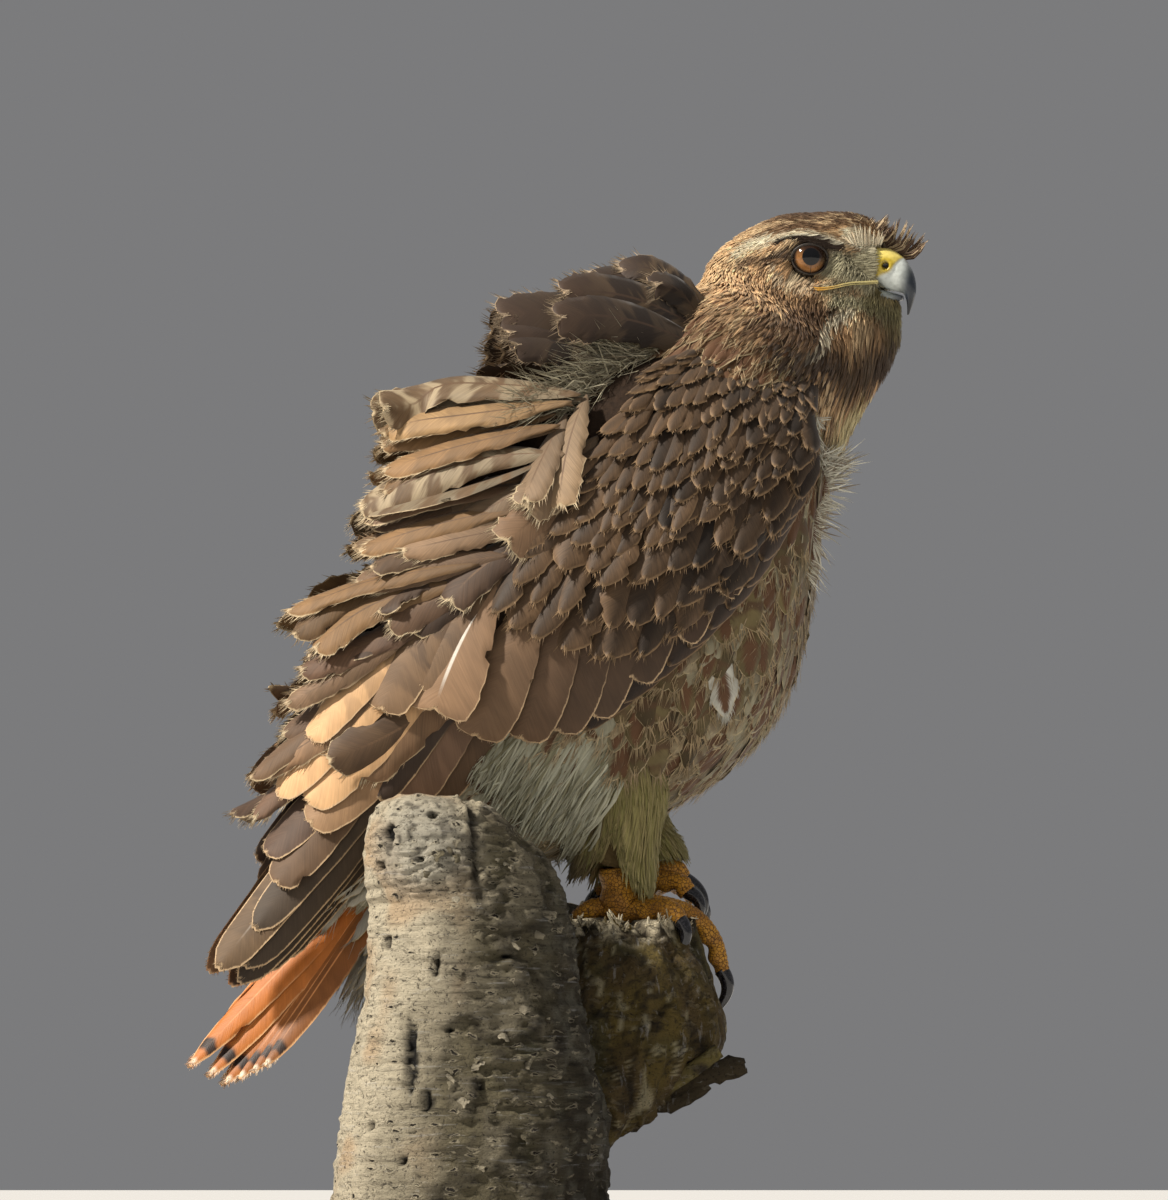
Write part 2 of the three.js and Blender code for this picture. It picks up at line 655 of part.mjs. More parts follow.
// Legs and feet. A leg is its hip, knee of feathers and heel as [along, up, right] and thickness.

const LEGS = {
  right: {
    thigh: [[43, 262, 24], [49, 240, 24], [51, 218, 22], [46, 194, 20]],
    thighRadii: [27, 25, 21, 13],
    ankle: [49, 193.4, 20],
    pad: new THREE.Vector3(54, 19, 174),
  },
  left: {
    thigh: [[50, 262, -24], [58, 240, -24], [65, 218, -22], [69, 203, -20]],
    thighRadii: [27, 24, 17, 10],
    ankle: [70, 202.4, -20],
    pad: new THREE.Vector3(64, 55, 187),
  },
};

// The toes as offsets from the pad, with the claw's two further points.
const TOES = {
  right: {
    middle: { path: [[0, 0, 0], [17, 6, 2], [32, 11, -2], [42, 14, -13], [46, 15, -27]],
      claw: [[50, 15, -37], [38, 15, -49]] },
    inner: { path: [[0, 0, 0], [13, 10, 1], [24, 17, 1], [30, 20, -6]],
      claw: [[33, 22, -16], [26, 21, -24]] },
    outer: { path: [[0, 0, 0], [12, -6, 0], [22, -12, 0], [27, -14, -5]],
      claw: [[30, -15, -14], [23, -14, -21]] },
    hind: { path: [[0, 0, 0], [-11, 1, 1], [-20, 2, -4]],
      claw: [[-25, 2, -14], [-17, 2, -22]] },
  },
  left: {
    middle: { path: [[0, 0, 0], [8, 2, 6], [16, 4, 7], [19, 5, 3]],
      claw: [[31, 6, -5], [26, 6, -18]] },
    inner: { path: [[0, 0, 0], [10, -6, 2], [18, -10, 0], [21, -11, -4]],
      claw: [[28, -13, -8], [25, -12, -20]] },
    outer: { path: [[0, 0, 0], [10, 12, 2], [20, 20, 1], [25, 23, -5]],
      claw: [[31, 26, -13], [25, 25, -23]] },
    hind: { path: [[0, 0, 0], [-11, 1, 1], [-20, 2, -4]],
      claw: [[-25, 2, -14], [-17, 2, -22]] },
  },
};
const TROUSER_COUNT = 8;
const TROUSER_WIDTH = 15;
const TROUSER_DEPTH = 6;
const TROUSER_STAND = 5;
const TROUSER_FRONT = 5;
const TROUSER_STEP = 4;
const TOE_RADII = [6.5, 4.8, 4.4, 3.6];
const CLAW_RADII = [3.4, 2.5, 0.4];

function offsets(list, from) {
  return list.map((one) => new THREE.Vector3(...one).add(from));
}

function thighCore({ thigh, thighRadii }, grow = 0) {
  return tube(thigh.map((one) => bodyPoint(...one)), thighRadii, 6, 12, grow);
}

// The long feathers that hang round a leg, from inside its thigh to past its heel
function trouserVanes({ thigh, thighRadii }, grow = 0) {
  const vanes = [];
  for (let i = 0; i < TROUSER_COUNT; i++) {
    const angle = (2 * Math.PI * (i + 0.5)) / TROUSER_COUNT;
    const [ahead, aside] = [Math.cos(angle), Math.sin(angle)];
    const place = ([along, up, right], radius, lower) =>
      bodyPoint(along + radius * ahead, up - lower, right + radius * aside);
    const root = place(thigh[1], thighRadii[1] - TROUSER_DEPTH, 0);
    const stand = thighRadii[3] + TROUSER_STAND + TROUSER_FRONT * Math.max(ahead, 0);
    const tip = place(thigh[3], stand, (i % 2) * TROUSER_STEP);
    const out = bodyPoint(ahead, 0.2, aside).sub(bodyPoint(0, 0, 0)).normalize();
    vanes.push(straightVane(root, tip, out, { width: TROUSER_WIDTH, hand: 1, grow }));
  }
  return vanes;
}

function thighForm(leg, grow = 0) {
  return joined([thighCore(leg, grow), ...trouserVanes(leg, grow)]);
}

function footForm(name, grow = 0) {
  const { ankle, pad } = LEGS[name];
  const top = bodyPoint(...ankle);
  const shank = tube([top, top.clone().lerp(pad, 0.5), pad], [6, 5.4, 7], 3, 8, grow);
  const toes = Object.values(TOES[name]).map(({ path }) =>
    tube(offsets(path, pad), TOE_RADII, TOE_STEPS, TOE_SIDES, grow));
  return joined([shank, ball(pad, 8 + grow, 8, 6), ...toes]);
}

function clawForm(name, toe, grow = 0) {
  const { path, claw } = TOES[name][toe];
  const [before, end] = offsets(path.slice(-2), LEGS[name].pad);
  const ahead = end.clone().sub(before).normalize();
  const start = end.clone().addScaledVector(ahead, GAP);
  return tube([start, ...offsets(claw, LEGS[name].pad)], CLAW_RADII, 5, 6, grow);
}

// Perch

// Sections of the trunk and of its stub from the bottom: height, centre and half sizes.
const TRUNK_SECTIONS = [
  { up: TRUNK_BOTTOM, centre: [-14, -45], half: [61, 53] },
  { up: 80, centre: [-12, -45], half: [59, 50] },
  { up: 125, centre: [-13, -45], half: [52, 43] },
  { up: 165, centre: [-14, -45], half: [45, 38] },
  { up: 195, centre: [-20, -45], half: [40, 36] },
  { up: 212, centre: [-27, -45], half: [33, 32] },
  { up: 218.5, centre: [-32, -45], half: [22, 24] },
];

const STUB_SECTIONS = [
  { up: 58, centre: [0, -36], half: [36, 26], tilt: 0 },
  { up: 78, centre: [16, -20], half: [44, 34], tilt: 0 },
  { up: 96, centre: [34, 0], half: [48, 42], tilt: 0 },
  { up: 112, centre: [46, 14], half: [51, 48], tilt: 0 },
  { up: 128, centre: [50, 22], half: [48, 50], tilt: 0.02 },
  { up: 150, centre: [53, 29], half: [38, 46], tilt: 0.1 },
  { up: 164, centre: [54, 34], half: [31, 42], tilt: 0.18 },
];

function trunkRing({ up, centre, half, tilt = 0 }, sides, grow) {
  const ring = [];
  for (let i = 0; i < sides; i++) {
    const angle = (2 * Math.PI * i) / sides;
    const [x, y] = [(half[0] + grow) * Math.cos(angle), (half[1] + grow) * Math.sin(angle)];
    ring.push(new THREE.Vector3(centre[0] + x, centre[1] + y, up + tilt * (y + half[1])));
  }
  return ring;
}

function perchForm(sections, grow = 0) {
  return loft(sections.map((one) => trunkRing(one, PERCH_SIDES, grow)));
}

function flapForm() {
  const path = [[62, 4, 88], [80, 2, 98], [95, 0, 104], [106, -2, 105]];
  return tube(path.map((one) => new THREE.Vector3(...one)), [9, 9, 6, 1], 4, 6);
}

// Stand

function baseForm() {
  const [long, wide, thick] = BASE_SIZE;
  const [x, y, r] = [long / 2, wide / 2, BASE_CORNER];
  const outline = new THREE.Shape();
  outline.absarc(x - r, -y + r, r, -Math.PI / 2, 0);
  outline.absarc(x - r, y - r, r, 0, Math.PI / 2);
  outline.absarc(-x + r, y - r, r, Math.PI / 2, Math.PI);
  outline.absarc(-x + r, -y + r, r, Math.PI, 1.5 * Math.PI);
  const options = { depth: thick, bevelEnabled: false, curveSegments: 6 };
  return solidOf(new THREE.ExtrudeGeometry(outline, options));
}

function rodForm(side) {
  const height = TRUNK_BOTTOM - BASE_SIZE[2] - 2 * GAP;
  const geometry = new THREE.CylinderGeometry(ROD_RADIUS, ROD_RADIUS, height, 20);
  geometry.rotateX(Math.PI / 2);
  const middle = BASE_SIZE[2] + GAP + height / 2;
  geometry.translate(TRUNK_PLACE[0] + (side * ROD_SPACING) / 2, TRUNK_PLACE[1], middle);
  return solidOf(geometry);
}

// The parts, each clear of its neighbours

const group = new THREE.Group();

function addPart(name, solid, { color, roughness, metalness = 0 }) {
  const mesh = new THREE.Mesh(geometryOf(largestPart(solid)));
  mesh.material = new THREE.MeshStandardMaterial({ color, roughness, metalness });
  mesh.name = name;
  group.add(mesh);
}

const FEATHER = { color: 0x6b4f38, roughness: 0.8 };
const PALE_FEATHER = { color: 0xc9b48f, roughness: 0.85 };
const RED_FEATHER = { color: 0xa5572a, roughness: 0.8 };
const HORN = { color: 0x2b2d33, roughness: 0.35 };
const CERE = { color: 0x8a8a4a, roughness: 0.5 };
const EYE = { color: 0x6e4a26, roughness: 0.1 };
const SCALE = { color: 0xb07f2a, roughness: 0.6 };
const BARK = { color: 0x6a6458, roughness: 0.9 };
const STAND = { color: 0x2f2a26, roughness: 0.5 };

const whole = bodyForm();
const wholeGrown = bodyForm(GAP);
const upwards = ({ point, normal }) => [point, normal];
const downwards = ({ point, normal }) => [point, normal.clone().negate()];
const eyes = [1, -1].map((side) => ball(eyeCentre(side), EYE_RADIUS));

const mantleGrown = joined(mantleVanes(GAP));
const torso = joined([beyond(whole, ...downwards(NECK_PLANE)), ...mantleVanes()]);
const neck = beyond(beyond(whole, ...upwards(NECK_PLANE)), ...downwards(HEAD_PLANE));
addPart("torso", torso, FEATHER);
addPart("neck", neck.subtract(mantleGrown), FEATHER);
addPart("head", headForm(), FEATHER);
addPart("eye_right", eyes[0], EYE);
addPart("eye_left", eyes[1], EYE);

// The face moved forward and up as well, because growing it alone leaves no gap under the bill
const faceShift = headPoint(GAP, GAP, 0).sub(HEAD_CENTRE);
const face = joined([wholeGrown, whole.translate(faceShift.toArray())]);
const upperBill = billForm(UPPER_BILL);
const nostrils = joined([nostrilForm(1), nostrilForm(-1)]);
addPart("maxilla", upperBill.subtract(face).subtract(nostrils), HORN);
addPart("mandible", billForm(LOWER_BILL).subtract(joined([face, billForm(UPPER_BILL, GAP)])), HORN);

const wingLimit = joined([bodyForm(WING_CLEARANCE), mantleGrown]);
addPart("wing_right", wingForm(1).subtract(wingLimit), FEATHER);
addPart("wing_left", wingForm(-1).subtract(wingLimit), FEATHER);
addPart("tail", tailForm().subtract(wholeGrown), RED_FEATHER);

for (const name of ["right", "left"]) {
  addPart(`thigh_${name}`, thighForm(LEGS[name]).subtract(wholeGrown), PALE_FEATHER);
  addPart(`foot_${name}`, footForm(name).subtract(thighForm(LEGS[name], GAP)), SCALE);
  for (const toe of Object.keys(TOES[name])) {
    addPart(`claw_${name}_${toe}`, clawForm(name, toe).subtract(footForm(name, GAP)), HORN);
  }
}

const feetGrown = ["right", "left"].flatMap((name) =>
  [footForm(name, GAP), ...Object.keys(TOES[name]).map((toe) => clawForm(name, toe, GAP))]);
const trunkGrown = perchForm(TRUNK_SECTIONS, GAP);
addPart("perch_trunk", perchForm(TRUNK_SECTIONS), BARK);
addPart("perch_stub", perchForm(STUB_SECTIONS).subtract(joined([trunkGrown, ...feetGrown])), BARK);
addPart("perch_bark_flap", flapForm().subtract(joined([trunkGrown, perchForm(STUB_SECTIONS, GAP)])), BARK);
addPart("stand_base", baseForm(), STAND);
addPart("stand_rod_1", rodForm(-1), STAND);
addPart("stand_rod_2", rodForm(1), STAND);

export default group;
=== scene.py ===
# A red tailed hawk in its feathers, on a broken trunk that a plain stand holds.
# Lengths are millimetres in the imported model's own frame, and turn into metres where a mesh is made.
# The bird looks towards +X and shows its right side to the camera, which looks along +Y.

import itertools
import math

import bpy
import numpy as np
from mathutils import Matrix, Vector


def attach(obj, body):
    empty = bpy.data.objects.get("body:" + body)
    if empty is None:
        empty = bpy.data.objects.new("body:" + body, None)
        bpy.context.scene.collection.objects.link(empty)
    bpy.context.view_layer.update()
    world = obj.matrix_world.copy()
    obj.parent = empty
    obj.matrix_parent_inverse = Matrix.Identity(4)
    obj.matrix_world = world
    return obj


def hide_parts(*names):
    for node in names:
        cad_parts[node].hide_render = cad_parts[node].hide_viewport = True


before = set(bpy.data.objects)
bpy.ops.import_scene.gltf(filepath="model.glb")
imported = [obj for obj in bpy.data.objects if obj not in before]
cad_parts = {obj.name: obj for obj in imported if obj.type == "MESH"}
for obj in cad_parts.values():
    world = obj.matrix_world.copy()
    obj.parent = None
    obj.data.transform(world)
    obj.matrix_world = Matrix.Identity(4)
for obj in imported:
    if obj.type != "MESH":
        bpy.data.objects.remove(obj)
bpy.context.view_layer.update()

MM = 0.001
rng = np.random.default_rng(11)

# Camera, from the photograph's framing

CAMERA_TARGET = np.array([37.8, 0.0, 313.0])
CAMERA_DISTANCE = 3000.0
CAMERA_RISE = math.radians(5)
LENS, SENSOR = 200.0, 36.0


def make_camera():
    data = bpy.data.cameras.new("camera")
    data.lens, data.sensor_width = LENS, SENSOR
    data.clip_end = 50
    camera = bpy.data.objects.new("camera", data)
    bpy.context.scene.collection.objects.link(camera)
    back = np.array([0, -math.cos(CAMERA_RISE), -math.sin(CAMERA_RISE)])
    camera.location = (CAMERA_TARGET + back * CAMERA_DISTANCE) * MM
    camera.rotation_euler = Vector(-back).to_track_quat("-Z", "Y").to_euler()
    bpy.context.scene.camera = camera


make_camera()

# Numbers


def srgb(red, green, blue):
    """A colour given as 0 to 255, as linear light."""
    c = np.array([red, green, blue]) / 255
    return np.where(c <= 0.04045, c / 12.92, ((c + 0.055) / 1.055) ** 2.4)


def mix(a, b, f):
    return a + (b - a) * f


def blend(a, b, f):
    """Mixes colours or points, by a number for each."""
    return mix(np.asarray(a, float), np.asarray(b, float), np.asarray(f, float)[..., None])


def step(low, high, x):
    f = np.clip((np.asarray(x, float) - low) / (high - low), 0, 1)
    return f * f * (3 - 2 * f)


def unit(v):
    return v / np.maximum(np.linalg.norm(v, axis=-1, keepdims=True), 1e-9)


def smooth(values, at):
    """A smooth curve through rows of values, read at places counted in rows."""
    values, at = np.asarray(values, float), np.asarray(at, float)
    last = len(values) - 1
    i = np.clip(np.floor(at).astype(int), 0, last - 1)
    f = (at - i).reshape(at.shape + (1,) * (values.ndim - 1))
    p = [values[np.clip(i + k, 0, last)] for k in (-1, 0, 1, 2)]
    first = p[2] - p[0]
    second = 2 * p[0] - 5 * p[1] + 4 * p[2] - p[3]
    third = 3 * (p[1] - p[2]) + p[3] - p[0]
    return p[1] + 0.5 * f * (first + f * (second + f * third))


def on_line(points, f):
    """A smooth curve through points, from 0 at the first to 1 at the last."""
    return smooth(points, np.asarray(f, float) * (len(points) - 1))


def straight(start, end, count):
    """Points along straight lines."""
    return mix(start[..., None, :], end[..., None, :], np.linspace(0, 1, count)[:, None])


def arc(start, bend, end, count):
    """Points along curves that leave start towards bend and reach end from it."""
    f = np.linspace(0, 1, count)[:, None]
    start, bend, end = (x[..., None, :] for x in (start, bend, end))
    return start * (1 - f) ** 2 + 2 * bend * f * (1 - f) + end * f**2


def hashed(i, seed):
    h = (i[..., 0] * 374761393 + i[..., 1] * 668265263 + i[..., 2] * 1274126177 + seed * 97531) & 0xFFFFFFFF
    h = ((h ^ (h >> 13)) * 1103515245) & 0xFFFFFFFF
    return ((h ^ (h >> 16)) & 0xFFFF) / 65535.0


def noise(p, size, seed=0):
    """Smooth noise from -1 to 1 with lumps of a size in millimetres, or one for each axis."""
    p = np.asarray(p, float) / size
    i = np.floor(p).astype(np.int64)
    f = p - i
    f = f * f * (3 - 2 * f)
    total = 0
    for corner in itertools.product((0, 1), repeat=3):
        weight = np.prod(np.where(corner, f, 1 - f), axis=-1)
        total = total + weight * hashed(i + np.array(corner), seed)
    return 2 * total - 1


# Places, as in the construction: along, up and right of the bird's body, and the same for its head

SIDES = {1: "right", -1: "left"}
BODY_YAW, HEAD_YAW = math.radians(10), math.radians(-20)
BODY_DEPTH = 27.5
HEAD_CENTRE = np.array([148.3, 43.6, 472.6])


def turned(along, up, right, yaw):
    along, up, right = np.broadcast_arrays(*(np.asarray(x, float) for x in (along, up, right)))
    sin, cos = math.sin(yaw), math.cos(yaw)
    return np.stack([along * cos + right * sin, along * sin - right * cos, up], -1)


def body_point(along, up, right):
    return turned(along, up, right, BODY_YAW) + [0, BODY_DEPTH, 0]


def body_direction(along, up, right):
    return unit(turned(along, up, right, BODY_YAW))


def body_place(p):
    """Along, up and right of a point."""
    q = p - [0, BODY_DEPTH, 0]
    sin, cos = math.sin(BODY_YAW), math.cos(BODY_YAW)
    return q[..., 0] * cos + q[..., 1] * sin, q[..., 2], q[..., 0] * sin - q[..., 1] * cos


def head_point(forward, up, right):
    return turned(forward, up, right, HEAD_YAW) + HEAD_CENTRE


def head_direction(forward, up, right):
    return unit(turned(forward, up, right, HEAD_YAW))


def head_place(p):
    q = p - HEAD_CENTRE
    sin, cos = math.sin(HEAD_YAW), math.cos(HEAD_YAW)
    return q[..., 0] * cos + q[..., 1] * sin, q[..., 2], q[..., 0] * sin - q[..., 1] * cos


# Meshes


def link(name, mesh, material, replaced=()):
    piece = bpy.data.objects.new(name, mesh)
    bpy.context.scene.collection.objects.link(piece)
    mesh.materials.append(material)
    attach(piece, "root")
    if replaced:
        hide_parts(*replaced)
    return piece


def mesh_of(name, points, faces, colours=None, maps=None):
    """A smooth mesh from points, arrays of quads and triangles, colours at points, and uv at points."""
    mesh = bpy.data.meshes.new(name)
    faces = [f for f in faces if len(f)]
    corners = np.concatenate([f.ravel() for f in faces]).astype(np.int32)
    totals = np.concatenate([np.full(len(f), f.shape[1]) for f in faces]).astype(np.int32)
    mesh.vertices.add(len(points))
    mesh.vertices.foreach_set("co", (points * MM).astype(np.float32).ravel())
    mesh.loops.add(len(corners))
    mesh.loops.foreach_set("vertex_index", corners)
    mesh.polygons.add(len(totals))
    mesh.polygons.foreach_set("loop_start", (np.cumsum(totals) - totals).astype(np.int32))
    mesh.polygons.foreach_set("loop_total", totals)
    mesh.polygons.foreach_set("use_smooth", np.ones(len(totals), bool))
    mesh.update(calc_edges=True)
    for key, value in (colours or {}).items():
        full = np.ones((len(points), 4), np.float32)
        full[:, : value.shape[1]] = value
        mesh.attributes.new(key, "FLOAT_COLOR", "POINT").data.foreach_set("color", full.ravel())
    for key, value in (maps or {}).items():
        mesh.uv_layers.new(name=key).data.foreach_set("uv", value[corners].astype(np.float32).ravel())
    mesh.validate()
    return mesh


def tinted(name, grid, tint, surface, replaced=()):
    """A piece of points and faces in its own colours."""
    points, faces = grid
    link(name, mesh_of(name, points, faces, {"tint": tint}), surface, replaced)


def grid_faces(rows, columns, closed=True):
    """Quads of a grid of points, closed round its columns or open."""
    i = np.arange(rows - 1)[:, None] * columns
    j = np.arange(columns if closed else columns - 1)[None, :]
    k = (j + 1) % columns
    return np.stack([i + j, i + k, i + columns + k, i + columns + j], -1).reshape(-1, 4)


def capped_grid(points):
    """Points and faces of rings of points, with both ends closed round their middle."""
    rows, columns = points.shape[:2]
    flat = np.concatenate([points.reshape(-1, 3), points[0].mean(0)[None], points[-1].mean(0)[None]])
    j = np.arange(columns)
    k = (j + 1) % columns
    first, last = rows * columns, rows * columns + 1
    low = np.stack([np.full(columns, first), k, j], -1)
    high = np.stack([np.full(columns, last), (rows - 1) * columns + j, (rows - 1) * columns + k], -1)
    return flat, [grid_faces(rows, columns), low, high]


def tube_rings(path, radii, sides, flat=1.0, up=(0, 0, 1)):
    """Rings round a path, with a radius for each of its points. flat squeezes them along up."""
    ahead = unit(np.gradient(path, axis=0))
    side = unit(np.cross(ahead, np.asarray(up, float)))
    top = np.cross(side, ahead)
    angle = np.linspace(0, 2 * math.pi, sides, endpoint=False)
    radii = np.asarray(radii, float)[:, None, None]
    cos, sin = (f(angle)[None, :, None] for f in (np.cos, np.sin))
    return path[:, None] + radii * (cos * side[:, None] + flat * sin * top[:, None])


# Materials


class Surface:
    """A material and what builds its nodes. Values are sockets or numbers."""

    def __init__(self, name, roughness, **settings):
        self.made = bpy.data.materials.new(name)
        self.made.use_nodes = True
        self.tree = self.made.node_tree
        self.shader = self.tree.nodes["Principled BSDF"]
        self.shader.inputs["Roughness"].default_value = roughness
        for key, value in settings.items():
            self.shader.inputs[key.replace("_", " ")].default_value = value

    def give(self, socket, value):
        if isinstance(value, bpy.types.NodeSocket):
            self.tree.links.new(value, socket)
        else:
            socket.default_value = value

    def add(self, kind, inputs=None, **settings):
        node = self.tree.nodes.new("ShaderNode" + kind)
        for key, value in settings.items():
            setattr(node, key, value)
        for key, value in (inputs or {}).items():
            self.give(node.inputs[key], value)
        return node

    def math(self, operation, a, b=0.0, c=0.0):
        return self.add("Math", {0: a, 1: b, 2: c}, operation=operation).outputs[0]

    def times(self, a, b):
        return self.math("MULTIPLY", a, b)

    def fused(self, a, b, c):
        """a times b, plus c."""
        return self.math("MULTIPLY_ADD", a, b, c)

    def ramp(self, value, low, high, start=0.0, end=1.0):
        """A smooth step of a value from start to end."""
        inputs = {"Value": value, "From Min": low, "From Max": high, "To Min": start, "To Max": end}
        return self.add("MapRange", inputs, interpolation_type="SMOOTHSTEP").outputs[0]

    def blend(self, a, b, factor):
        node = self.add("Mix", {0: factor}, data_type="RGBA", blend_type="MIX")
        for index, value in ((6, a), (7, b)):
            self.give(node.inputs[index], value if isinstance(value, bpy.types.NodeSocket) else (*value, 1))
        return node.outputs[2]

    def noise(self, vector, scale, detail=2.0, roughness=0.5):
        inputs = {"Vector": vector, "Scale": scale, "Detail": detail, "Roughness": roughness}
        return self.add("TexNoise", inputs).outputs["Fac"]

    def joined(self, x=0.0, y=0.0, z=0.0):
        return self.add("CombineXYZ", {0: x, 1: y, 2: z}).outputs[0]

    def tint(self):
        return self.add("Attribute", attribute_name="tint").outputs["Color"]

    def place(self):
        return self.add("TexCoord").outputs["Object"]

    def map_place(self, name):
        """The two numbers of a named map."""
        return self.add("SeparateXYZ", {0: self.add("UVMap", uv_map=name).outputs[0]}).outputs[:2]

    def stretched(self, place, scale):
        return self.add("Mapping", {"Vector": place, "Scale": scale}).outputs[0]

    def shaded(self, colour, amount):
        return self.add("VectorMath", {0: colour, "Scale": amount}, operation="SCALE").outputs[0]

    def finished(self, colour, height=None, strength=0.0, distance=0.0):
        """The material, in a colour, with fine relief in millimetres."""
        self.give(self.shader.inputs["Base Color"], colour)
        if height is not None:
            node = self.add("Bump", {"Height": height, "Strength": strength, "Distance": distance * MM})
            self.give(self.shader.inputs["Normal"], node.outputs[0])
        return self.made


class Vane(Surface):
    """The surface of feathers in their own tint, with barbs.
    The map named vane runs across and along each feather. tint's alpha is a random number for each
    feather. marks holds its length in decimetres, how much of the streak and of the bars it has, and
    as alpha its half width there in centimetres."""

    def __init__(self, name, roughness):
        super().__init__(name, roughness, Specular_IOR_Level=0.3, Sheen_Weight=0.1)
        tint = self.add("Attribute", attribute_name="tint")
        marks = self.add("Attribute", attribute_name="marks")
        parts = self.add("SeparateColor", {0: marks.outputs["Color"]}).outputs
        self.length, self.streaked, self.barred = parts
        self.half = marks.outputs["Alpha"]
        across, self.along = self.map_place("vane")
        self.aside = self.math("ABSOLUTE", self.fused(across, 2.0, -1.0))
        self.run = self.times(self.along, self.length)
        self.seed = self.times(tint.outputs["Alpha"], 40.0)
        barb = self.fused(self.aside, -0.06, self.run)
        fine = self.joined(self.times(self.aside, 0.7), self.times(barb, 110.0), self.seed)
        self.barbs = self.noise(fine, 1.0, 3.0, 0.65)
        self.loose = self.math("SUBTRACT", self.barbs, 0.5)
        self.patch = self.noise(self.joined(across, self.times(self.run, 9.0), self.seed), 1.6)
        self.colour = tint.outputs["Color"]

    def add_bars(self, shade, size, reach):
        wave = self.fused(self.run, 200 * math.pi / size, self.times(self.patch, 9.0))
        for value, amount in ((self.aside, 1.6), (self.loose, 1.5), (self.seed, 1.7)):
            wave = self.fused(value, amount, wave)
        stripes = self.ramp(self.math("SINE", wave), -0.8, 1.0)
        amount = self.times(stripes, self.ramp(self.along, reach[1], reach[0]))
        self.colour = self.blend(self.colour, shade, self.times(amount, self.barred))

    def add_band(self, start, end, shade):
        wobble = self.fused(self.patch, 0.03, self.along)
        inside = self.times(self.ramp(wobble, start, start + 0.02), self.ramp(wobble, end + 0.02, end))
        self.colour = self.blend(self.colour, shade, inside)

    def add_tip(self, start, shade):
        self.colour = self.blend(self.colour, shade, self.ramp(self.along, start, start + 0.03))

    def add_streak(self, shade):
        profile = self.times(self.ramp(self.along, 0.3, 0.78), self.ramp(self.along, 1.0, 0.9))
        limit = self.times(profile, self.streaked)
        edge = self.math("SUBTRACT", self.fused(self.loose, 0.9, self.aside), limit)
        body = self.times(self.ramp(edge, 0.12, -0.22), self.ramp(self.streaked, 0.02, 0.12))
        self.colour = self.blend(self.colour, shade, body)

    def add_rim(self, shade, width):
        """A rim of a width in millimetres at the sides, and of another at the tip."""
        side = self.times(self.times(self.math("SUBTRACT", 1.0, self.aside), self.half), 10 / width[0])
        tip = self.times(self.times(self.math("SUBTRACT", 1.0, self.along), self.length), 100 / width[1])
        edge = self.fused(self.loose, 1.6, self.math("MINIMUM", side, tip))
        amount = self.times(self.ramp(edge, 1.0, 0.2), self.ramp(self.along, 0.3, 0.75))
        self.colour = self.blend(self.colour, shade, amount)

    def add_shaft(self, shade, few):
        line = self.times(self.ramp(self.aside, 0.06, 0.025), self.ramp(self.along, 0.92, 0.7))
        self.colour = self.blend(self.colour, shade, self.times(line, self.streaked) if few else line)

    def grained(self, grain, core):
        """The material, with barbs that differ in tone and a darker core."""
        light = self.fused(self.loose, 2 * grain, 1.0)
        light = self.times(light, self.ramp(self.patch, 0.2, 0.8, 0.86, 1.14))
        if core:
            light = self.times(light, self.ramp(self.aside, 0.0, 0.9, 1 - core, 1.0))
        return self.finished(self.shaded(self.colour, light), self.barbs, 0.5, 0.25)


def feather_material(name, rim=None, rim_width=(0.8, 2.4), bar=None, bar_size=9.0, bar_reach=(0.0, 0.6),
                     shaft=None, few_shafts=False, streak=None, grain=0.35, roughness=0.62, band=None,
                     tip=None, core=0.0):
    """Feathers in their own tint, and where asked with bars, a band, a tip, a streak, a rim and a shaft."""
    vane = Vane(name, roughness)
    if bar is not None:
        vane.add_bars(bar, bar_size, bar_reach)
    if band is not None:
        vane.add_band(*band)
    if tip is not None:
        vane.add_tip(*tip)
    if streak is not None:
        vane.add_streak(streak)
    if rim is not None:
        vane.add_rim(rim, rim_width)
    if shaft is not None:
        vane.add_shaft(shaft, few_shafts)
    return vane.grained(grain, core)


# Feathers

# Outlines of feathers from root to tip, as shares of the greatest half width
ROUND_PLAN = [0.14, 0.42, 0.72, 0.92, 1.0, 0.97, 0.82, 0.5, 0.1]
LONG_PLAN = [0.12, 0.5, 0.78, 0.93, 1.0, 1.0, 0.96, 0.88, 0.72, 0.45, 0.08]
VANE_PLAN = [0.1, 0.4, 0.62, 0.78, 0.9, 0.97, 1.0, 1.0, 0.93, 0.74, 0.12]
POINTED_PLAN = [0.2, 0.6, 0.95, 1.0, 0.85, 0.55, 0.06]
HAIR_PLAN = [0.5, 1.0, 0.8, 0.05]
SPINE_POINTS = 6
LEAST_WIDTH, NOTCH_DEPTH = 0.04, 0.35
# How much of the baked map a tuft without a cell of its own takes
TUFT_PATCH = 0.003


def resampled(curves, count):
    """Curves given by a few points each, from (n, k, 3) to (n, count, 3)."""
    at = np.linspace(0, curves.shape[1] - 1, count)
    return np.moveaxis(smooth(np.moveaxis(curves, 1, 0), at), 0, 1)


def on_grids(points, owner, row, column):
    """Points of the owners' grids at rows and columns that need not be whole."""
    i = np.minimum(np.floor(row).astype(int), points.shape[1] - 2)
    j = np.minimum(np.floor(column).astype(int), points.shape[2] - 2)
    f, g = (row - i)[:, None], (column - j)[:, None]
    first = mix(points[owner, i, j], points[owner, i, j + 1], g)
    second = mix(points[owner, i + 1, j], points[owner, i + 1, j + 1], g)
    return mix(first, second, f)


def ways_along(spine, out, lean):
    """The ways ahead, to the side and out at each point of spines, turned round them by lean."""
    ahead = unit(np.gradient(spine, axis=1))
    side = unit(np.cross(ahead, out))
    top = np.cross(side, ahead)
    return ahead, side * np.cos(lean) - top * np.sin(lean), top * np.cos(lean) + side * np.sin(lean)


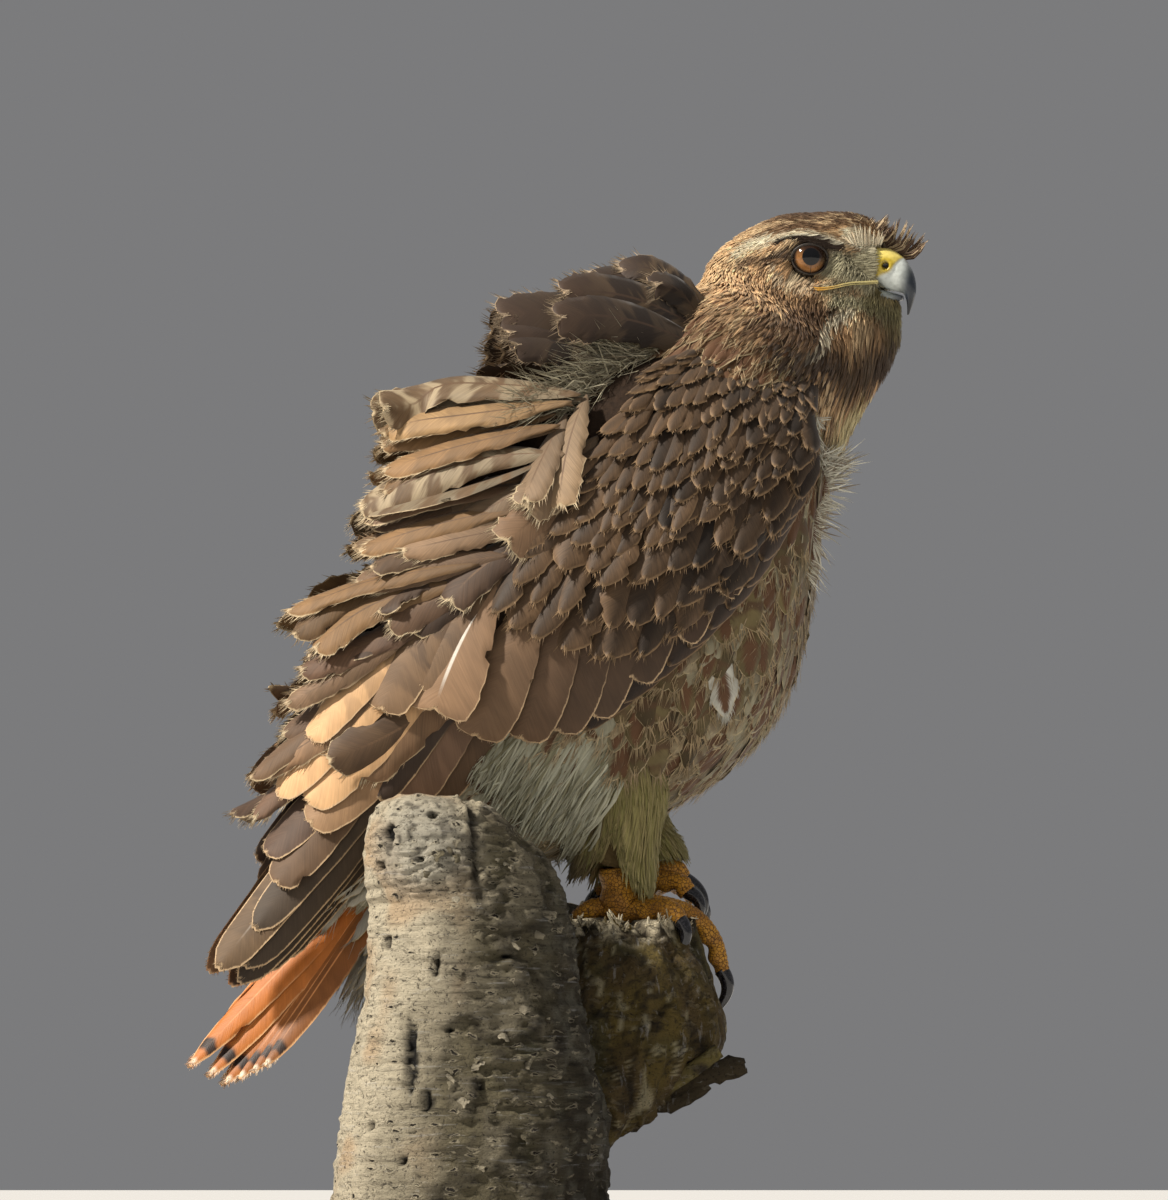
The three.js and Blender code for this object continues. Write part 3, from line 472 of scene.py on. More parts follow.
class Feathers:
    """Gathers feathers as arrays, and makes them into pieces of few enough triangles each."""

    # The most triangles of a piece
    limit = 190_000

    def __init__(self, name, surface, slot, columns=5, rows=8, sheet=False, cells=False, replaced=(),
                 barbs=None):
        """Each feather is a grid. The lower face of a sheet follows the upper one, and cells give each
        feather a place of its own on the map. barbs names the coat of its loose barbs."""
        self.name, self.surface, self.slot, self.replaced = name, surface, slot, replaced
        self.columns, self.rows, self.cells = columns, rows, cells
        self.barbs = Feathers("barbs_" + barbs, HAIR, slot, columns=3, rows=3) if barbs else None
        self.lower = np.arange(columns) if sheet else np.array([0, columns - 1])
        self.batches = []

    def add(self, spine, out, half, plan, tint, patch=(0.5, 0.5), lean=0.0, camber=0.15, sweep=0.4,
            thick=0.4, ragged=0.1, notch=0.0, streak=0.0, bars=0.0, curl=0.0, fray=None):
        """Feathers along spines. out is the way out of their faces, half their half width, tint a
        colour for each feather or each of its rows, and patch the place of each root on the map."""
        count, rows = len(spine), self.rows
        spine = resampled(np.asarray(spine), rows)
        out = resampled(out, rows) if out.ndim == 3 else np.repeat(out[:, None], rows, 1)
        lean, curl, half = (np.broadcast_to(x, (count,))[:, None, None] for x in (lean, curl, half))
        ways = ahead, side, top = ways_along(spine, out, lean)
        down = np.linspace(0, 1, rows)[None, :, None]
        spine = spine + top * curl * down**2
        width = half * np.clip(on_line(plan, down), LEAST_WIDTH, None)
        across = np.linspace(-1, 1, self.columns)
        reach = width * across
        reach[..., [0, -1]] *= self.uneven(count, ragged, notch)
        forward = sweep * width * np.abs(across)
        lift = thick * (1 - across**2) - camber * width * across**2
        points = (spine[:, :, None] + side[:, :, None] * reach[..., None]
                  + ahead[:, :, None] * forward[..., None] + top[:, :, None] * lift[..., None])
        under = points[:, :, self.lower]
        if len(self.lower) > 2:
            under = under - top[:, :, None] * (thick * (1 - across**2)[self.lower])[:, None]
        marks = self.marks(spine, width, streak, bars)
        tint, patch = self.tints(tint, count), np.broadcast_to(patch, (count, 2))
        self.batches.append((points, under, tint, marks, patch))
        if fray:
            self.fray(points, ways, tint[:, -1], patch, **fray)

    def uneven(self, count, ragged, notch):
        """How far the feathers' two edges reach at each row, with notches by chance."""
        shares = 1 - ragged * rng.random((count, self.rows, 2))
        return np.where(rng.random((count, self.rows, 2)) < notch, shares - NOTCH_DEPTH, shares)

    def tints(self, tint, count):
        """A colour for each row of each feather, from one for all, for each feather or for each row."""
        tint = np.asarray(tint, float)
        if tint.ndim == 2:
            tint = tint[:, None]
        return np.broadcast_to(tint, (count, self.rows, 3))

    def marks(self, spine, width, streak, bars):
        """What the material reads of each feather: its length, streak, bars and half width."""
        length = np.linalg.norm(np.diff(spine, axis=1), axis=-1).sum(1)
        marks = [np.broadcast_to(x, (len(spine),))[:, None] for x in (length / 100, streak, bars)]
        return np.stack(np.broadcast_arrays(*marks, width[..., 0] / 10), -1)

    def fray(self, points, ways, tint, patch, each=12, reach=2.2, low=0.6, spread=0.6, thin=0.2, shade=None):
        """Loose barbs along the feathers' edges, closest round their tips."""
        rows, columns = points.shape[1:3]
        owner = np.repeat(np.arange(len(points)), each)
        n = len(owner)
        at_tip = rng.random(n) < 0.4
        across = np.where(at_tip, rng.uniform(-1, 1, n), rng.choice([-0.95, 0.95], n))
        row = np.where(at_tip, 0.975, mix(low, 0.98, np.sqrt(rng.random(n)))) * (rows - 1)
        start = on_grids(points, owner, row, (across + 1) / 2 * (columns - 1))
        ahead, side, top = (way[owner, row.round().astype(int)] for way in ways)
        way = unit(ahead + side * (across * spread + rng.normal(0, 0.15, n))[:, None]
                   + top * rng.normal(0.02, 0.12, n)[:, None])
        run = reach * rng.uniform(0.5, 1.3, n)[:, None, None] * np.array([-0.5, 0.3, 1.0])[:, None]
        colour = tint[owner] if shade is None else blend(tint[owner], shade, rng.uniform(0.2, 1, n))
        self.barbs.add(start[:, None] + way[:, None] * run, top, thin * rng.uniform(0.7, 1.3, n), HAIR_PLAN,
                       varied(colour, n, 0.1), patch[owner], camber=0.3, sweep=0, thick=0.1, ragged=0.1)

    def make(self):
        points, under, tints, marks, patches = (np.concatenate(x) for x in zip(*self.batches))
        count, rows, columns = points.shape[:3]
        each = 2 * (rows - 1) * (columns + len(self.lower) - 2) + 4 * (columns - 1)
        pieces = -(-count * each // self.limit)
        vane = np.stack(np.meshgrid(np.linspace(0, 1, columns), np.linspace(0, 1, rows)), -1)
        if self.cells:
            side = math.ceil(math.sqrt(count))
            place = np.stack(np.divmod(np.arange(count), side), -1)[:, None, None]
            bake = (place + 0.04 + 0.92 * vane) / side
        else:
            bake = patches[:, None, None] + TUFT_PATCH * (vane - 0.5)
        vane = np.broadcast_to(vane, bake.shape)
        seeds = np.broadcast_to(rng.random(count)[:, None, None], (count, rows, 1))
        tints = np.concatenate([tints, seeds], -1)
        for number, part in enumerate(np.array_split(np.arange(count), pieces)):
            name = self.name if pieces == 1 else f"{self.name}_{number + 1}"
            self.link(name, part, points, under, tints, marks, vane, bake, number == 0)

    def link(self, name, part, points, under, tints, marks, vane, bake, first):
        count, (rows, columns) = len(part), points.shape[1:3]
        width = len(self.lower)
        total = rows * (columns + width)

        def joined(upper, lower):
            both = [x[part].reshape(count, -1, x.shape[-1]) for x in (upper, lower)]
            return np.concatenate(both, 1).reshape(count * total, -1)

        def across(values, number):
            return np.repeat(values[:, :, None], number, 2)

        offset = np.arange(count)[:, None, None] * total
        faces = [(f[None] + offset).reshape(-1, f.shape[1]) for f in self.faces()]
        colours = {"tint": joined(across(tints, columns), across(tints, width))}
        colours["marks"] = joined(across(marks, columns), across(marks, width))
        maps = {"vane": joined(vane, vane[:, :, self.lower]), "OFBake": joined(bake, bake[:, :, self.lower])}
        mesh = mesh_of(name, joined(points, under), faces, colours, maps)
        link(name, mesh, self.surface, self.replaced if first else ())

    def faces(self):
        """Quads of one feather's upper and lower face, and what closes its root and tip."""
        rows, columns, width = self.rows, self.columns, len(self.lower)
        upper = grid_faces(rows, columns, closed=False)[:, ::-1]
        lower = grid_faces(rows, width, closed=False) + rows * columns
        j = np.arange(columns - 1)
        first, last = rows * columns, (rows - 1) * columns
        if width == 2:
            fan = j[1:]
            root = np.stack([np.zeros_like(fan), fan + 1, fan], -1)
            tip = np.stack([np.full_like(fan, last), last + fan, last + fan + 1], -1)
            return np.concatenate([upper, lower]), np.concatenate([root, tip])
        end = first + last
        root = np.stack([j, j + 1, first + j + 1, first + j], -1)
        tip = np.stack([last + j + 1, last + j, end + j, end + j + 1], -1)
        return (np.concatenate([upper, lower, root, tip]),)


def varied(colour, count, amount):
    """A colour for each feather, lighter or darker by chance."""
    return np.clip(np.asarray(colour) * (1 + amount * rng.standard_normal((count, 1))), 0.004, 0.95)


def by_rows(tint, shares):
    """Tints for each row of each feather."""
    return tint[:, None] * np.asarray(shares)[None, :, None]


def add_sprigs(coat, curve, out, half, tint, patch, plan=POINTED_PLAN, **more):
    """Thin tufts along curves given by a few rows of points, which all face the same way."""
    out = np.broadcast_to(out, (len(curve[0]), 3))
    coat.add(np.stack(curve, 1), out, half, plan, tint, patch, camber=0.3, **more)


HAIR = feather_material("loose_barbs", grain=0.1)
HAIR_GRID = {"columns": 3, "rows": 5}
VANE_GRID = {"columns": 11, "rows": 25, "sheet": True, "cells": True}


# The body's skin, from sections as in the construction: back and belly as along and up, and half width

BODY_SECTIONS = [
    (-70, 190, -60, 174, 7), (-58.7, 206.7, -43.7, 187.9, 12), (-46.1, 237.6, -9.4, 192.7, 26),
    (-27.8, 274.1, 36.5, 202.1, 42), (-9.5, 315.3, 92, 229.9, 56), (8.8, 356.6, 127, 264.6, 63),
    (29.6, 393.7, 141.6, 310.7, 66), (55.1, 426.3, 148.3, 354.5, 61), (77.4, 449, 155.9, 384.6, 51),
    (92.4, 461.8, 168.2, 407.9, 42),
]
# For the head: back and front as forward, up and right, half width, how far it has turned, and by how
# much its front half narrows
HEAD_SECTIONS = [
    (-52, 1, 11, 26, -49, -10, 29.5, 0.4, 0), (-41, 12, 6, 33.9, -35.4, -3, 20.5, 0.8, 0.2),
    (-21.6, 21, 3, 35.4, -20, 0, 16.6, 1, 0.45), (-4, 22.6, 0, 28, -13, 0, 13.9, 1, 0.4),
    (12, 21.8, 0, 26.5, -7, 0, 11.6, 1, 0.3), (21, 18.8, 0, 26, -2, 0, 9.4, 1, 0.2),
    (27.2, 12.4, 0, 27.2, 3, 0, 6.6, 1, 0.1), (29.4, 8.4, 0, 28.6, 5.4, 0, 3.2, 1, 0.1),
]
NECK_START = len(BODY_SECTIONS)
LAST_SECTION = NECK_START + len(HEAD_SECTIONS) - 1


def section_table():
    """Middles, reaches to the back and widths to the right of the sections."""
    rows = []
    for back_along, back_up, belly_along, belly_up, half in BODY_SECTIONS:
        right = turned(0, 0, half, BODY_YAW)
        rows.append((body_point(back_along, back_up, 0), body_point(belly_along, belly_up, 0), right))
    for *ends, half, turn, _ in HEAD_SECTIONS:
        right = turned(0, 0, half, BODY_YAW + (HEAD_YAW - BODY_YAW) * turn)
        rows.append((head_point(*ends[:3]), head_point(*ends[3:]), right))
    back, front, right = (np.array(x) for x in zip(*rows))
    return (back + front) / 2, (back - front) / 2, right


MIDDLES, REACHES, WIDTHS = section_table()
PINCHES = np.array([0] * NECK_START + [one[-1] for one in HEAD_SECTIONS], float)


# The eye and the ridges round it, in the head's own places

EYE_RADIUS = 9.0
EYE_PLACE = (-3.4, -0.5, 13.6)
EYE_TURN = math.radians(65)
LID_REACH = 5.0
BROW = [(-15, 7, 18.5), (-7, 9, 20.2), (2, 8.6, 18.6), (12, 4.8, 14.2)]
BROW_HEIGHT = 4.4


def eye_centre(side):
    forward, up, right = EYE_PLACE
    return head_point(forward, up, side * right)


def eye_axis(side):
    return head_direction(math.cos(EYE_TURN), 0, side * math.sin(EYE_TURN))


def from_eye(p, side):
    """How far out of an eye's middle points lie along its axis, and how far aside of that."""
    offset, axis = p - eye_centre(side), eye_axis(side)
    height = offset @ axis
    return height, np.linalg.norm(offset - height[..., None] * axis, axis=-1)


def shape_head(p):
    """Flattens the skin round each eye, and raises the brow over it."""
    for side in SIDES:
        height, away = from_eye(p, side)
        weight = (1 - step(8.5, 16, away)) * (height > -6)
        p = p + eye_axis(side) * ((LID_REACH - 0.6 - height) * weight)[..., None]
        for f in np.linspace(0, 1, 7):
            ridge = head_point(*(on_line(BROW, f) * [1, 1, side]))
            near = np.exp(-(np.linalg.norm(p - ridge, axis=-1) / 3.6) ** 2)
            p = p + head_direction(0.1, 0.25, side) * (BROW_HEIGHT * 0.4 * near)[..., None]
    return p


def skin(u, v):
    """Points of the bird's outline, u counted in sections and v an angle from the back to the right."""
    middle, reach, width = (smooth(x, u) for x in (MIDDLES, REACHES, WIDTHS))
    narrowing = 1 - smooth(PINCHES, u) * np.clip(-np.cos(v), 0, 1) ** 2
    return shape_head(middle + np.cos(v)[..., None] * reach + (np.sin(v) * narrowing)[..., None] * width)


def skin_out(u, v):
    """The way out of the skin, and how many millimetres a section is long there."""
    e = 0.03
    along = skin(u + e, v) - skin(u - e, v)
    across = skin(u, v + e) - skin(u, v - e)
    return unit(np.cross(across, along)), np.linalg.norm(along, axis=-1) / (2 * e)


def coat_depth(u):
    return mix(5.0, 1.6, step(9.0, 12.5, u))


def spread_evenly(count):
    """Two numbers from 0 to 1 for each of a count, that fill a square evenly."""
    n = np.arange(count)
    return (0.5 + n * 0.7548776662) % 1, (0.5 + n * 0.5698402909) % 1


def scattered(count, density, low=0.0, high=LAST_SECTION):
    """Places spread evenly over the skin, closer where density is higher."""
    rows, columns = 160, 120
    u = low + (high - low) * (np.arange(rows) + 0.5) / rows
    v = -math.pi + 2 * math.pi * (np.arange(columns) + 0.5) / columns
    u, v = np.meshgrid(u, v, indexing="ij")
    e = 0.02
    area = np.linalg.norm(np.cross(skin(u + e, v) - skin(u - e, v), skin(u, v + e) - skin(u, v - e)), axis=-1)
    weight = area * density(skin(u, v), u, v)
    by_row = np.concatenate([[0], np.cumsum(weight.sum(1))])
    first, second = spread_evenly(count)
    row = np.interp(first, by_row / by_row[-1], np.arange(rows + 1))
    line = np.minimum(row.astype(int), rows - 1)
    across = np.cumsum(weight, axis=1) / np.maximum(weight.sum(1, keepdims=True), 1e-9)
    across = np.concatenate([np.zeros((rows, 1)), across], 1)[line]
    column = np.array([np.interp(s, a, np.arange(columns + 1)) for s, a in zip(second, across)])
    return low + (high - low) * row / rows, -math.pi + 2 * math.pi * column / columns


def skin_spines(u, v, length, root_lift, tip_lift, turn=0.0, bend=0.7):
    """Spines of feathers that lie along the skin towards the tail, and the way out at each point."""
    stride = skin_out(u, v)[1]
    f = np.linspace(0, 1, 5)
    run = np.minimum(length / np.maximum(stride, 9), 1.6)
    places = np.maximum(u[:, None] - run[:, None] * f, -0.4)
    sides = v[:, None] + np.broadcast_to(turn, u.shape)[:, None] * f
    outs, _ = skin_out(places, sides)
    low, high = (np.broadcast_to(x, u.shape)[:, None] for x in (root_lift, tip_lift))
    lift = mix(low, high, f**bend)
    return skin(places, sides) + outs * lift[..., None], outs


def skin_patch(u, v):
    return np.stack([0.02 + 0.96 * ((v / (2 * math.pi)) % 1), 0.02 + 0.96 * u / LAST_SECTION], -1)


# Colours of the body's feathers

CREAM, BUFF, WHITE = srgb(222, 212, 184), srgb(214, 186, 144), srgb(226, 222, 206)
BROWN, DARK, UMBER = srgb(104, 78, 54), srgb(54, 40, 29), srgb(84, 60, 40)
TAWNY, RUFOUS, STREAK = srgb(172, 136, 96), srgb(146, 96, 60), srgb(92, 62, 38)
NAPE, SHADED_LORES, SHADED_CHIN = srgb(222, 184, 138), srgb(112, 104, 78), srgb(104, 96, 60)
LORES, CHIN, DOWN = srgb(156, 150, 122), srgb(178, 172, 140), srgb(176, 172, 160)
OLIVE, STRAW, VENT = srgb(96, 80, 44), srgb(208, 202, 150), srgb(176, 174, 152)


def near_line(points, x, y, width):
    """How near places are to a broken line, 1 on it and 0 from about twice the width on."""
    best = np.full(x.shape, 1e9)
    for (x0, y0), (x1, y1) in zip(points[:-1], points[1:]):
        f = np.clip(((x - x0) * (x1 - x0) + (y - y0) * (y1 - y0)) / ((x1 - x0) ** 2 + (y1 - y0) ** 2), 0, 1)
        best = np.minimum(best, np.hypot(x - x0 - f * (x1 - x0), y - y0 - f * (y1 - y0)))
    return 1 - step(width * 0.6, width * 1.7, best)


# The head's markings, with painted shade over the eye and on the chin: lines as forward and up, half width,
# colour and strength
HEAD_MARKS = [
    ([(-65, -14), (-48, -3), (-33, 8)], 4.0, BUFF, 0.5),
    ([(-31, 8), (-23, 11.6), (-14, 13.6)], 2.3, CREAM, 0.8),
    ([(-14, 13.6), (-5, 13.8), (2, 12.4), (10, 9.6), (16, 6.5)], 1.1, CREAM, 0.7),
    # A dark line round the top of the eye: painted shadow of the brow.
    ([(-16.5, 3.5), (-10.8, 6.6), (-5, 8.6), (2.5, 9.2), (8.4, 7.2), (12.4, 2.8), (12.8, -0.8)],
     1.7, DARK, 0.95),
    ([(-30, 3.4), (-22.5, 4.8), (-13, 3)], 1.4, UMBER, 0.85),
    ([(-13.5, 0.5), (-11, -5.5), (-3, -9.8), (8, -10.6)], 1.7, CREAM, 0.35),
    ([(11, -2), (16, -3), (21, -5), (27, -10)], 5.0, LORES, 0.95),
    ([(8, -12), (16, -11)], 2.5, LORES, 0.8),
    ([(18.5, 11), (21, 7.6), (26, 6)], 2.6, CREAM, 0.9),
    ([(-16, -23.5), (-2, -21), (12, -23.6), (-1, -31), (-10.5, -27)], 3.6, UMBER, 0.75),
    ([(12.5, -18.4), (23, -19), (32, -22.3), (39, -23.5)], 3.0, CHIN, 0.9),
    ([(28, -19), (34, -21), (38, -28)], 5.0, SHADED_CHIN, 0.85),
    ([(18, -23.5), (10.6, -27.5), (6.8, -33), (5.8, -38)], 1.7, CREAM, 0.8),
    ([(-6, -40), (5, -42), (19, -40), (36, -36)], 5.5, DARK, 0.9),
    ([(28, -30), (33, -33)], 6.0, DARK, 0.5),
    ([(-7.7, -50), (2.7, -62), (8, -72)], 5.0, RUFOUS, 0.7),
    ([(-31, -40), (-19, -41), (-7, -42.6)], 3.0, BUFF, 0.5),
    ([(26, -52), (20, -62), (15, -76)], 3.0, STRAW, 0.6),
]


def drawn_out(u, v, length, width, seed):
    """Noise stretched along the feathers' run, for places on the skin."""
    return noise(np.stack([u / length, v / width, 0 * u], -1), 1.0, seed)


def head_colour(p, u, v):
    forward, up, _ = head_place(p)
    colour = blend(TAWNY, BROWN, step(12, 18, up))
    colour = blend(colour, NAPE, step(-6, -30, forward) * step(-60, -20, up) * 0.85)
    streaks = drawn_out(u, v, 0.5, 0.09, 3) + 0.5 * drawn_out(u, v, 0.25, 0.045, 4)
    colour = blend(colour, BUFF, step(0.1, 0.7, streaks) * 0.75)
    colour = blend(colour, UMBER, step(-0.05, -0.6, streaks) * 0.55)
    for line, width, shade, amount in HEAD_MARKS:
        colour = blend(colour, shade, near_line(line, forward, up, width) * amount)
    return colour


def front_of(p):
    """1 on the breast, belly and flanks, and 0 on the back."""
    along, up, _ = body_place(p)
    return step(-25, 5, along - (up - 300) * 0.62)


def vent_of(along, up, front, back):
    """1 on the pale down under the tail, which starts between front and back."""
    return step(front, back, along) * step(264, 248, up)


def body_colour(p):
    """The ground colour of a body feather by its root."""
    along, up, _ = body_place(p)
    front = front_of(p)
    mottle = noise(p, (16, 16, 24), 90)
    breast = blend(srgb(158, 150, 120), srgb(98, 78, 48), step(-0.3, 0.4, mottle))
    neck = blend(srgb(158, 120, 82), srgb(150, 140, 96), step(118, 138, along) * front)
    belly = blend(srgb(118, 102, 66), srgb(72, 56, 30), step(-0.1, 0.5, mottle))
    colour = blend(blend(BROWN, CREAM, front), breast, front * 0.8)
    colour = blend(colour, neck, step(392, 418, up) * 0.85)
    colour = blend(colour, belly, step(275, 225, up) * front * 0.9)
    # The breast, belly and flanks are darkened to 0.7 as painted shade.
    colour = colour * mix(1, 0.7, front)[:, None]
    return blend(colour, VENT, vent_of(along, up, 50, 26))


def coat_colour(p, u, v):
    return blend(body_colour(p), head_colour(p, u, v), step(8.8, 9.8, u))


# The skin under the coat

SKIN_ROWS, SKIN_COLUMNS = 220, 120
# The legs: the thigh's path and radii and the ankle, in the body's places, and the foot's pad as x, y and z
LEGS = {
    1: {"thigh": [(43, 262, 24), (49, 240, 24), (51, 218, 22), (46, 194, 20)], "radii": [27, 25, 21, 13],
        "ankle": (49, 193.4, 20), "pad": (54, 19, 174)},
    -1: {"thigh": [(50, 262, -24), (58, 240, -24), (65, 218, -22), (69, 203, -20)],
         "radii": [27, 24, 17, 10], "ankle": (70, 202.4, -20), "pad": (64, 55, 187)},
}
# The thighs' skin tint is dark olive, as painted shade inside the trousers.
THIGH_COAT, THIGH_SHADE_TINT = 5.0, srgb(124, 104, 68)
SKIN_NODES = ("torso", "neck", "head", "thigh_right", "thigh_left")


def thigh_path(side, count):
    at = np.linspace(0, 3, count)
    path = smooth([body_point(*one) for one in LEGS[side]["thigh"]], at)
    return path, smooth(np.array(LEGS[side]["radii"], float), at)


def skin_material():
    surface = Surface("coat_ground", 0.85, Specular_IOR_Level=0.2)
    fluff = surface.noise(surface.place(), 420.0, 5.0, 0.7)
    shade = surface.shaded(surface.tint(), surface.ramp(fluff, 0.3, 0.7, 0.6, 1.05))
    return surface.finished(shade, fluff, 0.8, 1.0)


def make_skin():
    u = np.linspace(0, LAST_SECTION, SKIN_ROWS)
    v = np.linspace(0, 2 * math.pi, SKIN_COLUMNS, endpoint=False)
    u, v = np.meshgrid(u, v, indexing="ij")
    rings = skin(u, v) - skin_out(u, v)[0] * (coat_depth(u) + 0.6)[..., None]
    points, faces = capped_grid(rings)
    colours = [coat_colour(points[:-2], u.ravel(), v.ravel()),
               coat_colour(points[-2:], np.array([0, LAST_SECTION]), np.zeros(2))]
    tints = np.concatenate(colours)
    for side in SIDES:
        path, radii = thigh_path(side, 24)
        more, more_faces = capped_grid(tube_rings(path, radii - THIGH_COAT, 40, up=(0, 1, 0)))
        faces += [f + len(points) for f in more_faces]
        points = np.concatenate([points, more])
        tints = np.concatenate([tints, np.broadcast_to(THIGH_SHADE_TINT, more.shape)])
    # The skin is darkened to 0.7 as painted shade under the coat.
    mesh = mesh_of("skin", points, faces, {"tint": tints * 0.7})
    link("skin", mesh, skin_material(), SKIN_NODES)


make_skin()

# The coat of the body and neck

PLAIN_COAT = feather_material("coat", rim=srgb(184, 166, 130), rim_width=(0.7, 1.2), streak=STREAK,
                              bar=srgb(84, 60, 38), bar_size=10, bar_reach=(0.7, 1.2), grain=0.3)
WING_TOP = [(-60, 330), (-20, 372), (30, 412), (70, 432), (133, 420)]
WING_LOW = [(-60, 212), (-20, 228), (10, 240), (40, 270), (72, 286), (94, 309), (118, 345), (133, 378)]
BODY_FEATHERS, HEAD_TUFTS = 2800, 17000


def uncovered(p):
    """1 where the coat shows, and little under the folded wings."""
    along, up, right = body_place(p)
    top = np.interp(along, *np.transpose(WING_TOP).astype(float))
    low = np.interp(along, *np.transpose(WING_LOW).astype(float))
    over = step(0, 16, top - up) * step(2, 20, up - low)
    return 1 - 0.95 * over * step(14, 26, np.abs(right)) * step(140, 120, along)


def streak_width(p, u, v):
    """The share of a breast feather that its dark streak takes."""
    _, up, right = body_place(p)
    belt = np.exp(-((up - 272) / 45) ** 2)
    side = step(8, 40, np.abs(right))
    some = step(-0.5, 0.3, drawn_out(u, v, 0.3, 0.16, 7) - 0.1 + 0.5 * belt + 0.25 * side)
    some = np.maximum(some, 0.8 * step(395, 415, up))
    return front_of(p) * some * rng.uniform(0.25, 1.0, len(u)) ** 0.8 * (1 - step(236, 212, up))


def make_body_coat():
    coat = Feathers("coat_body", PLAIN_COAT, "pale_feather", columns=5, rows=9, barbs="body")
    u, v = scattered(BODY_FEATHERS, lambda p, u, v: uncovered(p) * mix(1.0, 2.4, step(7.5, 9.2, u)), high=9.7)
    p = skin(u, v)
    front, neck = front_of(p), step(7.4, 9.4, u)
    length = mix(mix(26, 36, front), 19, neck) * rng.uniform(0.8, 1.25, len(u))
    half = mix(mix(7.6, 8.6, front), 3.2, neck) * rng.uniform(0.75, 1.15, len(u))
    along, up, right = body_place(p)
    flank = step(14, 34, np.abs(right)) * step(320, 285, up) * step(125, 95, along) * front
    flank = flank * (1 - vent_of(along, up, 50, 26))
    tint = blend(coat_colour(p, u, v), blend(BUFF * 0.6, OLIVE * 0.8, rng.random(len(u))), flank * 0.6)
    bars = flank * (rng.random(len(u)) < 0.6) * rng.uniform(0.4, 1, len(u))
    spine, out = skin_spines(u, v, length, -coat_depth(u), rng.uniform(-0.4, 1.4, len(u)),
                             turn=rng.normal(0, 0.06, len(u)))
    coat.add(spine, out, half, ROUND_PLAN, varied(tint, len(u), 0.08), skin_patch(u, v), camber=0.22,
             ragged=0.35, notch=0.2, streak=streak_width(p, u, v) * (bars == 0), bars=bars,
             lean=rng.normal(0, 0.2, len(u)),
             fray={"each": 5, "reach": 7.5, "low": 0.5, "spread": 0.25, "thin": 0.24, "shade": BUFF * 0.7})
    coat.make()
    coat.barbs.make()


make_body_coat()

# The coat of the neck and head: narrow tufts, finest round the eyes and the bill


def open_face(p):
    """1 where the head is feathered, and 0 on the eyes and the bill."""
    forward, up, _ = head_place(p)
    keep = np.ones(p.shape[:-1])
    for side in SIDES:
        height, away = from_eye(p, side)
        keep *= step(7.6, 8.6, away) + (height < 0)
    bill = step(26.5, 24.5, forward + 0.12 * (up + 4)) + step(-16, -18, up) + step(5, 6.5, up)
    return np.clip(keep, 0, 1) * np.clip(bill, 0, 1)


def make_head_coat():
    coat = Feathers("coat_head", HAIR, "body_feather", columns=3, rows=4)
    u, v = scattered(HEAD_TUFTS, lambda p, u, v: open_face(p) * mix(0.55, 1.7, step(10.0, 12.5, u)), low=8.8)
    p = skin(u, v)
    forward, up, _ = head_place(p)
    face = step(-6, 14, forward) * step(-34, -22, up)
    neck = step(10.6, 8.8, u)
    throat = step(10, 24, forward) * step(-20, -30, up)
    length = mix(mix(10.5, 16, neck), 4.2, face) * mix(1, 1.7, throat) * rng.uniform(0.75, 1.3, len(u))
    half = mix(mix(0.8, 1.35, neck), 0.36, face) * rng.uniform(0.8, 1.25, len(u))
    tint = head_colour(p, u, v) * np.exp(0.2 * rng.standard_normal((len(u), 1)))
    # Each tuft darkens towards its root: partly its own downy base and partly painted shade where the tufts
    # overlap.
    tint = np.clip(by_rows(tint, [0.72, 0.85, 1.0, 1.2]), 0.004, 0.9)
    rise = mix(rng.uniform(-0.3, 0.7, len(u)), rng.uniform(0.2, 2.6, len(u)), np.maximum(neck, throat))
    spine, out = skin_spines(u, v, length, -coat_depth(u), rise, turn=rng.normal(0, 0.03, len(u)))
    coat.add(spine, out, half, POINTED_PLAN, tint, skin_patch(u, v), camber=0.25, ragged=0.2, thick=0.15,
             lean=rng.normal(0, 0.1, len(u)))
    coat.make()


make_head_coat()

# White feathers that stick out along the folded wing's front edge: their roots and tips as along and up,
# and how many clumps there are a side

FRINGE_ROOTS = [(137, 398), (138, 384), (141, 374), (143, 366), (138, 352), (137, 338), (133, 326)]
FRINGE_TIPS = [(142, 392), (146, 376), (158, 381), (156, 368), (149, 346), (147, 326), (142, 312)]
FRINGE_CLUMPS, CLUMP_BLADES = 66, 5


def make_fringe():
    coat = Feathers("wrist_fringe", HAIR, "pale_feather", **HAIR_GRID)
    for side in SIDES:
        count = FRINGE_CLUMPS * CLUMP_BLADES
        f = np.clip(np.repeat(rng.random(FRINGE_CLUMPS), CLUMP_BLADES) + rng.normal(0, 0.01, count), 0, 1)
        root, tip = on_line(FRINGE_ROOTS, f), on_line(FRINGE_TIPS, f)
        clump = np.repeat(rng.normal(0, [2.0, 3.5], (FRINGE_CLUMPS, 2)), CLUMP_BLADES, 0)
        reach = rng.uniform(0.3, 1.05, (count, 1))
        tip = root + (tip - root) * reach + clump + rng.normal(0, 0.8, (count, 2))
        depth = 44 + rng.normal(0, 2.5, count) - 10 * f
        start, end = body_point(*root.T, side * depth), body_point(*tip.T, side * (depth + 1))
        middle = (start + end) / 2 + rng.normal(0, 0.5, (count, 3))
        tint = blend(srgb(226, 222, 204), srgb(120, 96, 70), rng.random(count) ** 3)
        add_sprigs(coat, [start, middle, end], body_direction(0.5, 0, side), rng.uniform(0.16, 0.4, count),
                   varied(tint, count, 0.1),
                   np.stack([0.1 + 0.8 * f, 0.5 + 0.3 * side + rng.normal(0, 0.03, count)], -1),
                   thick=0.12, lean=rng.normal(0, 0.3, count))
    coat.make()


make_fringe()

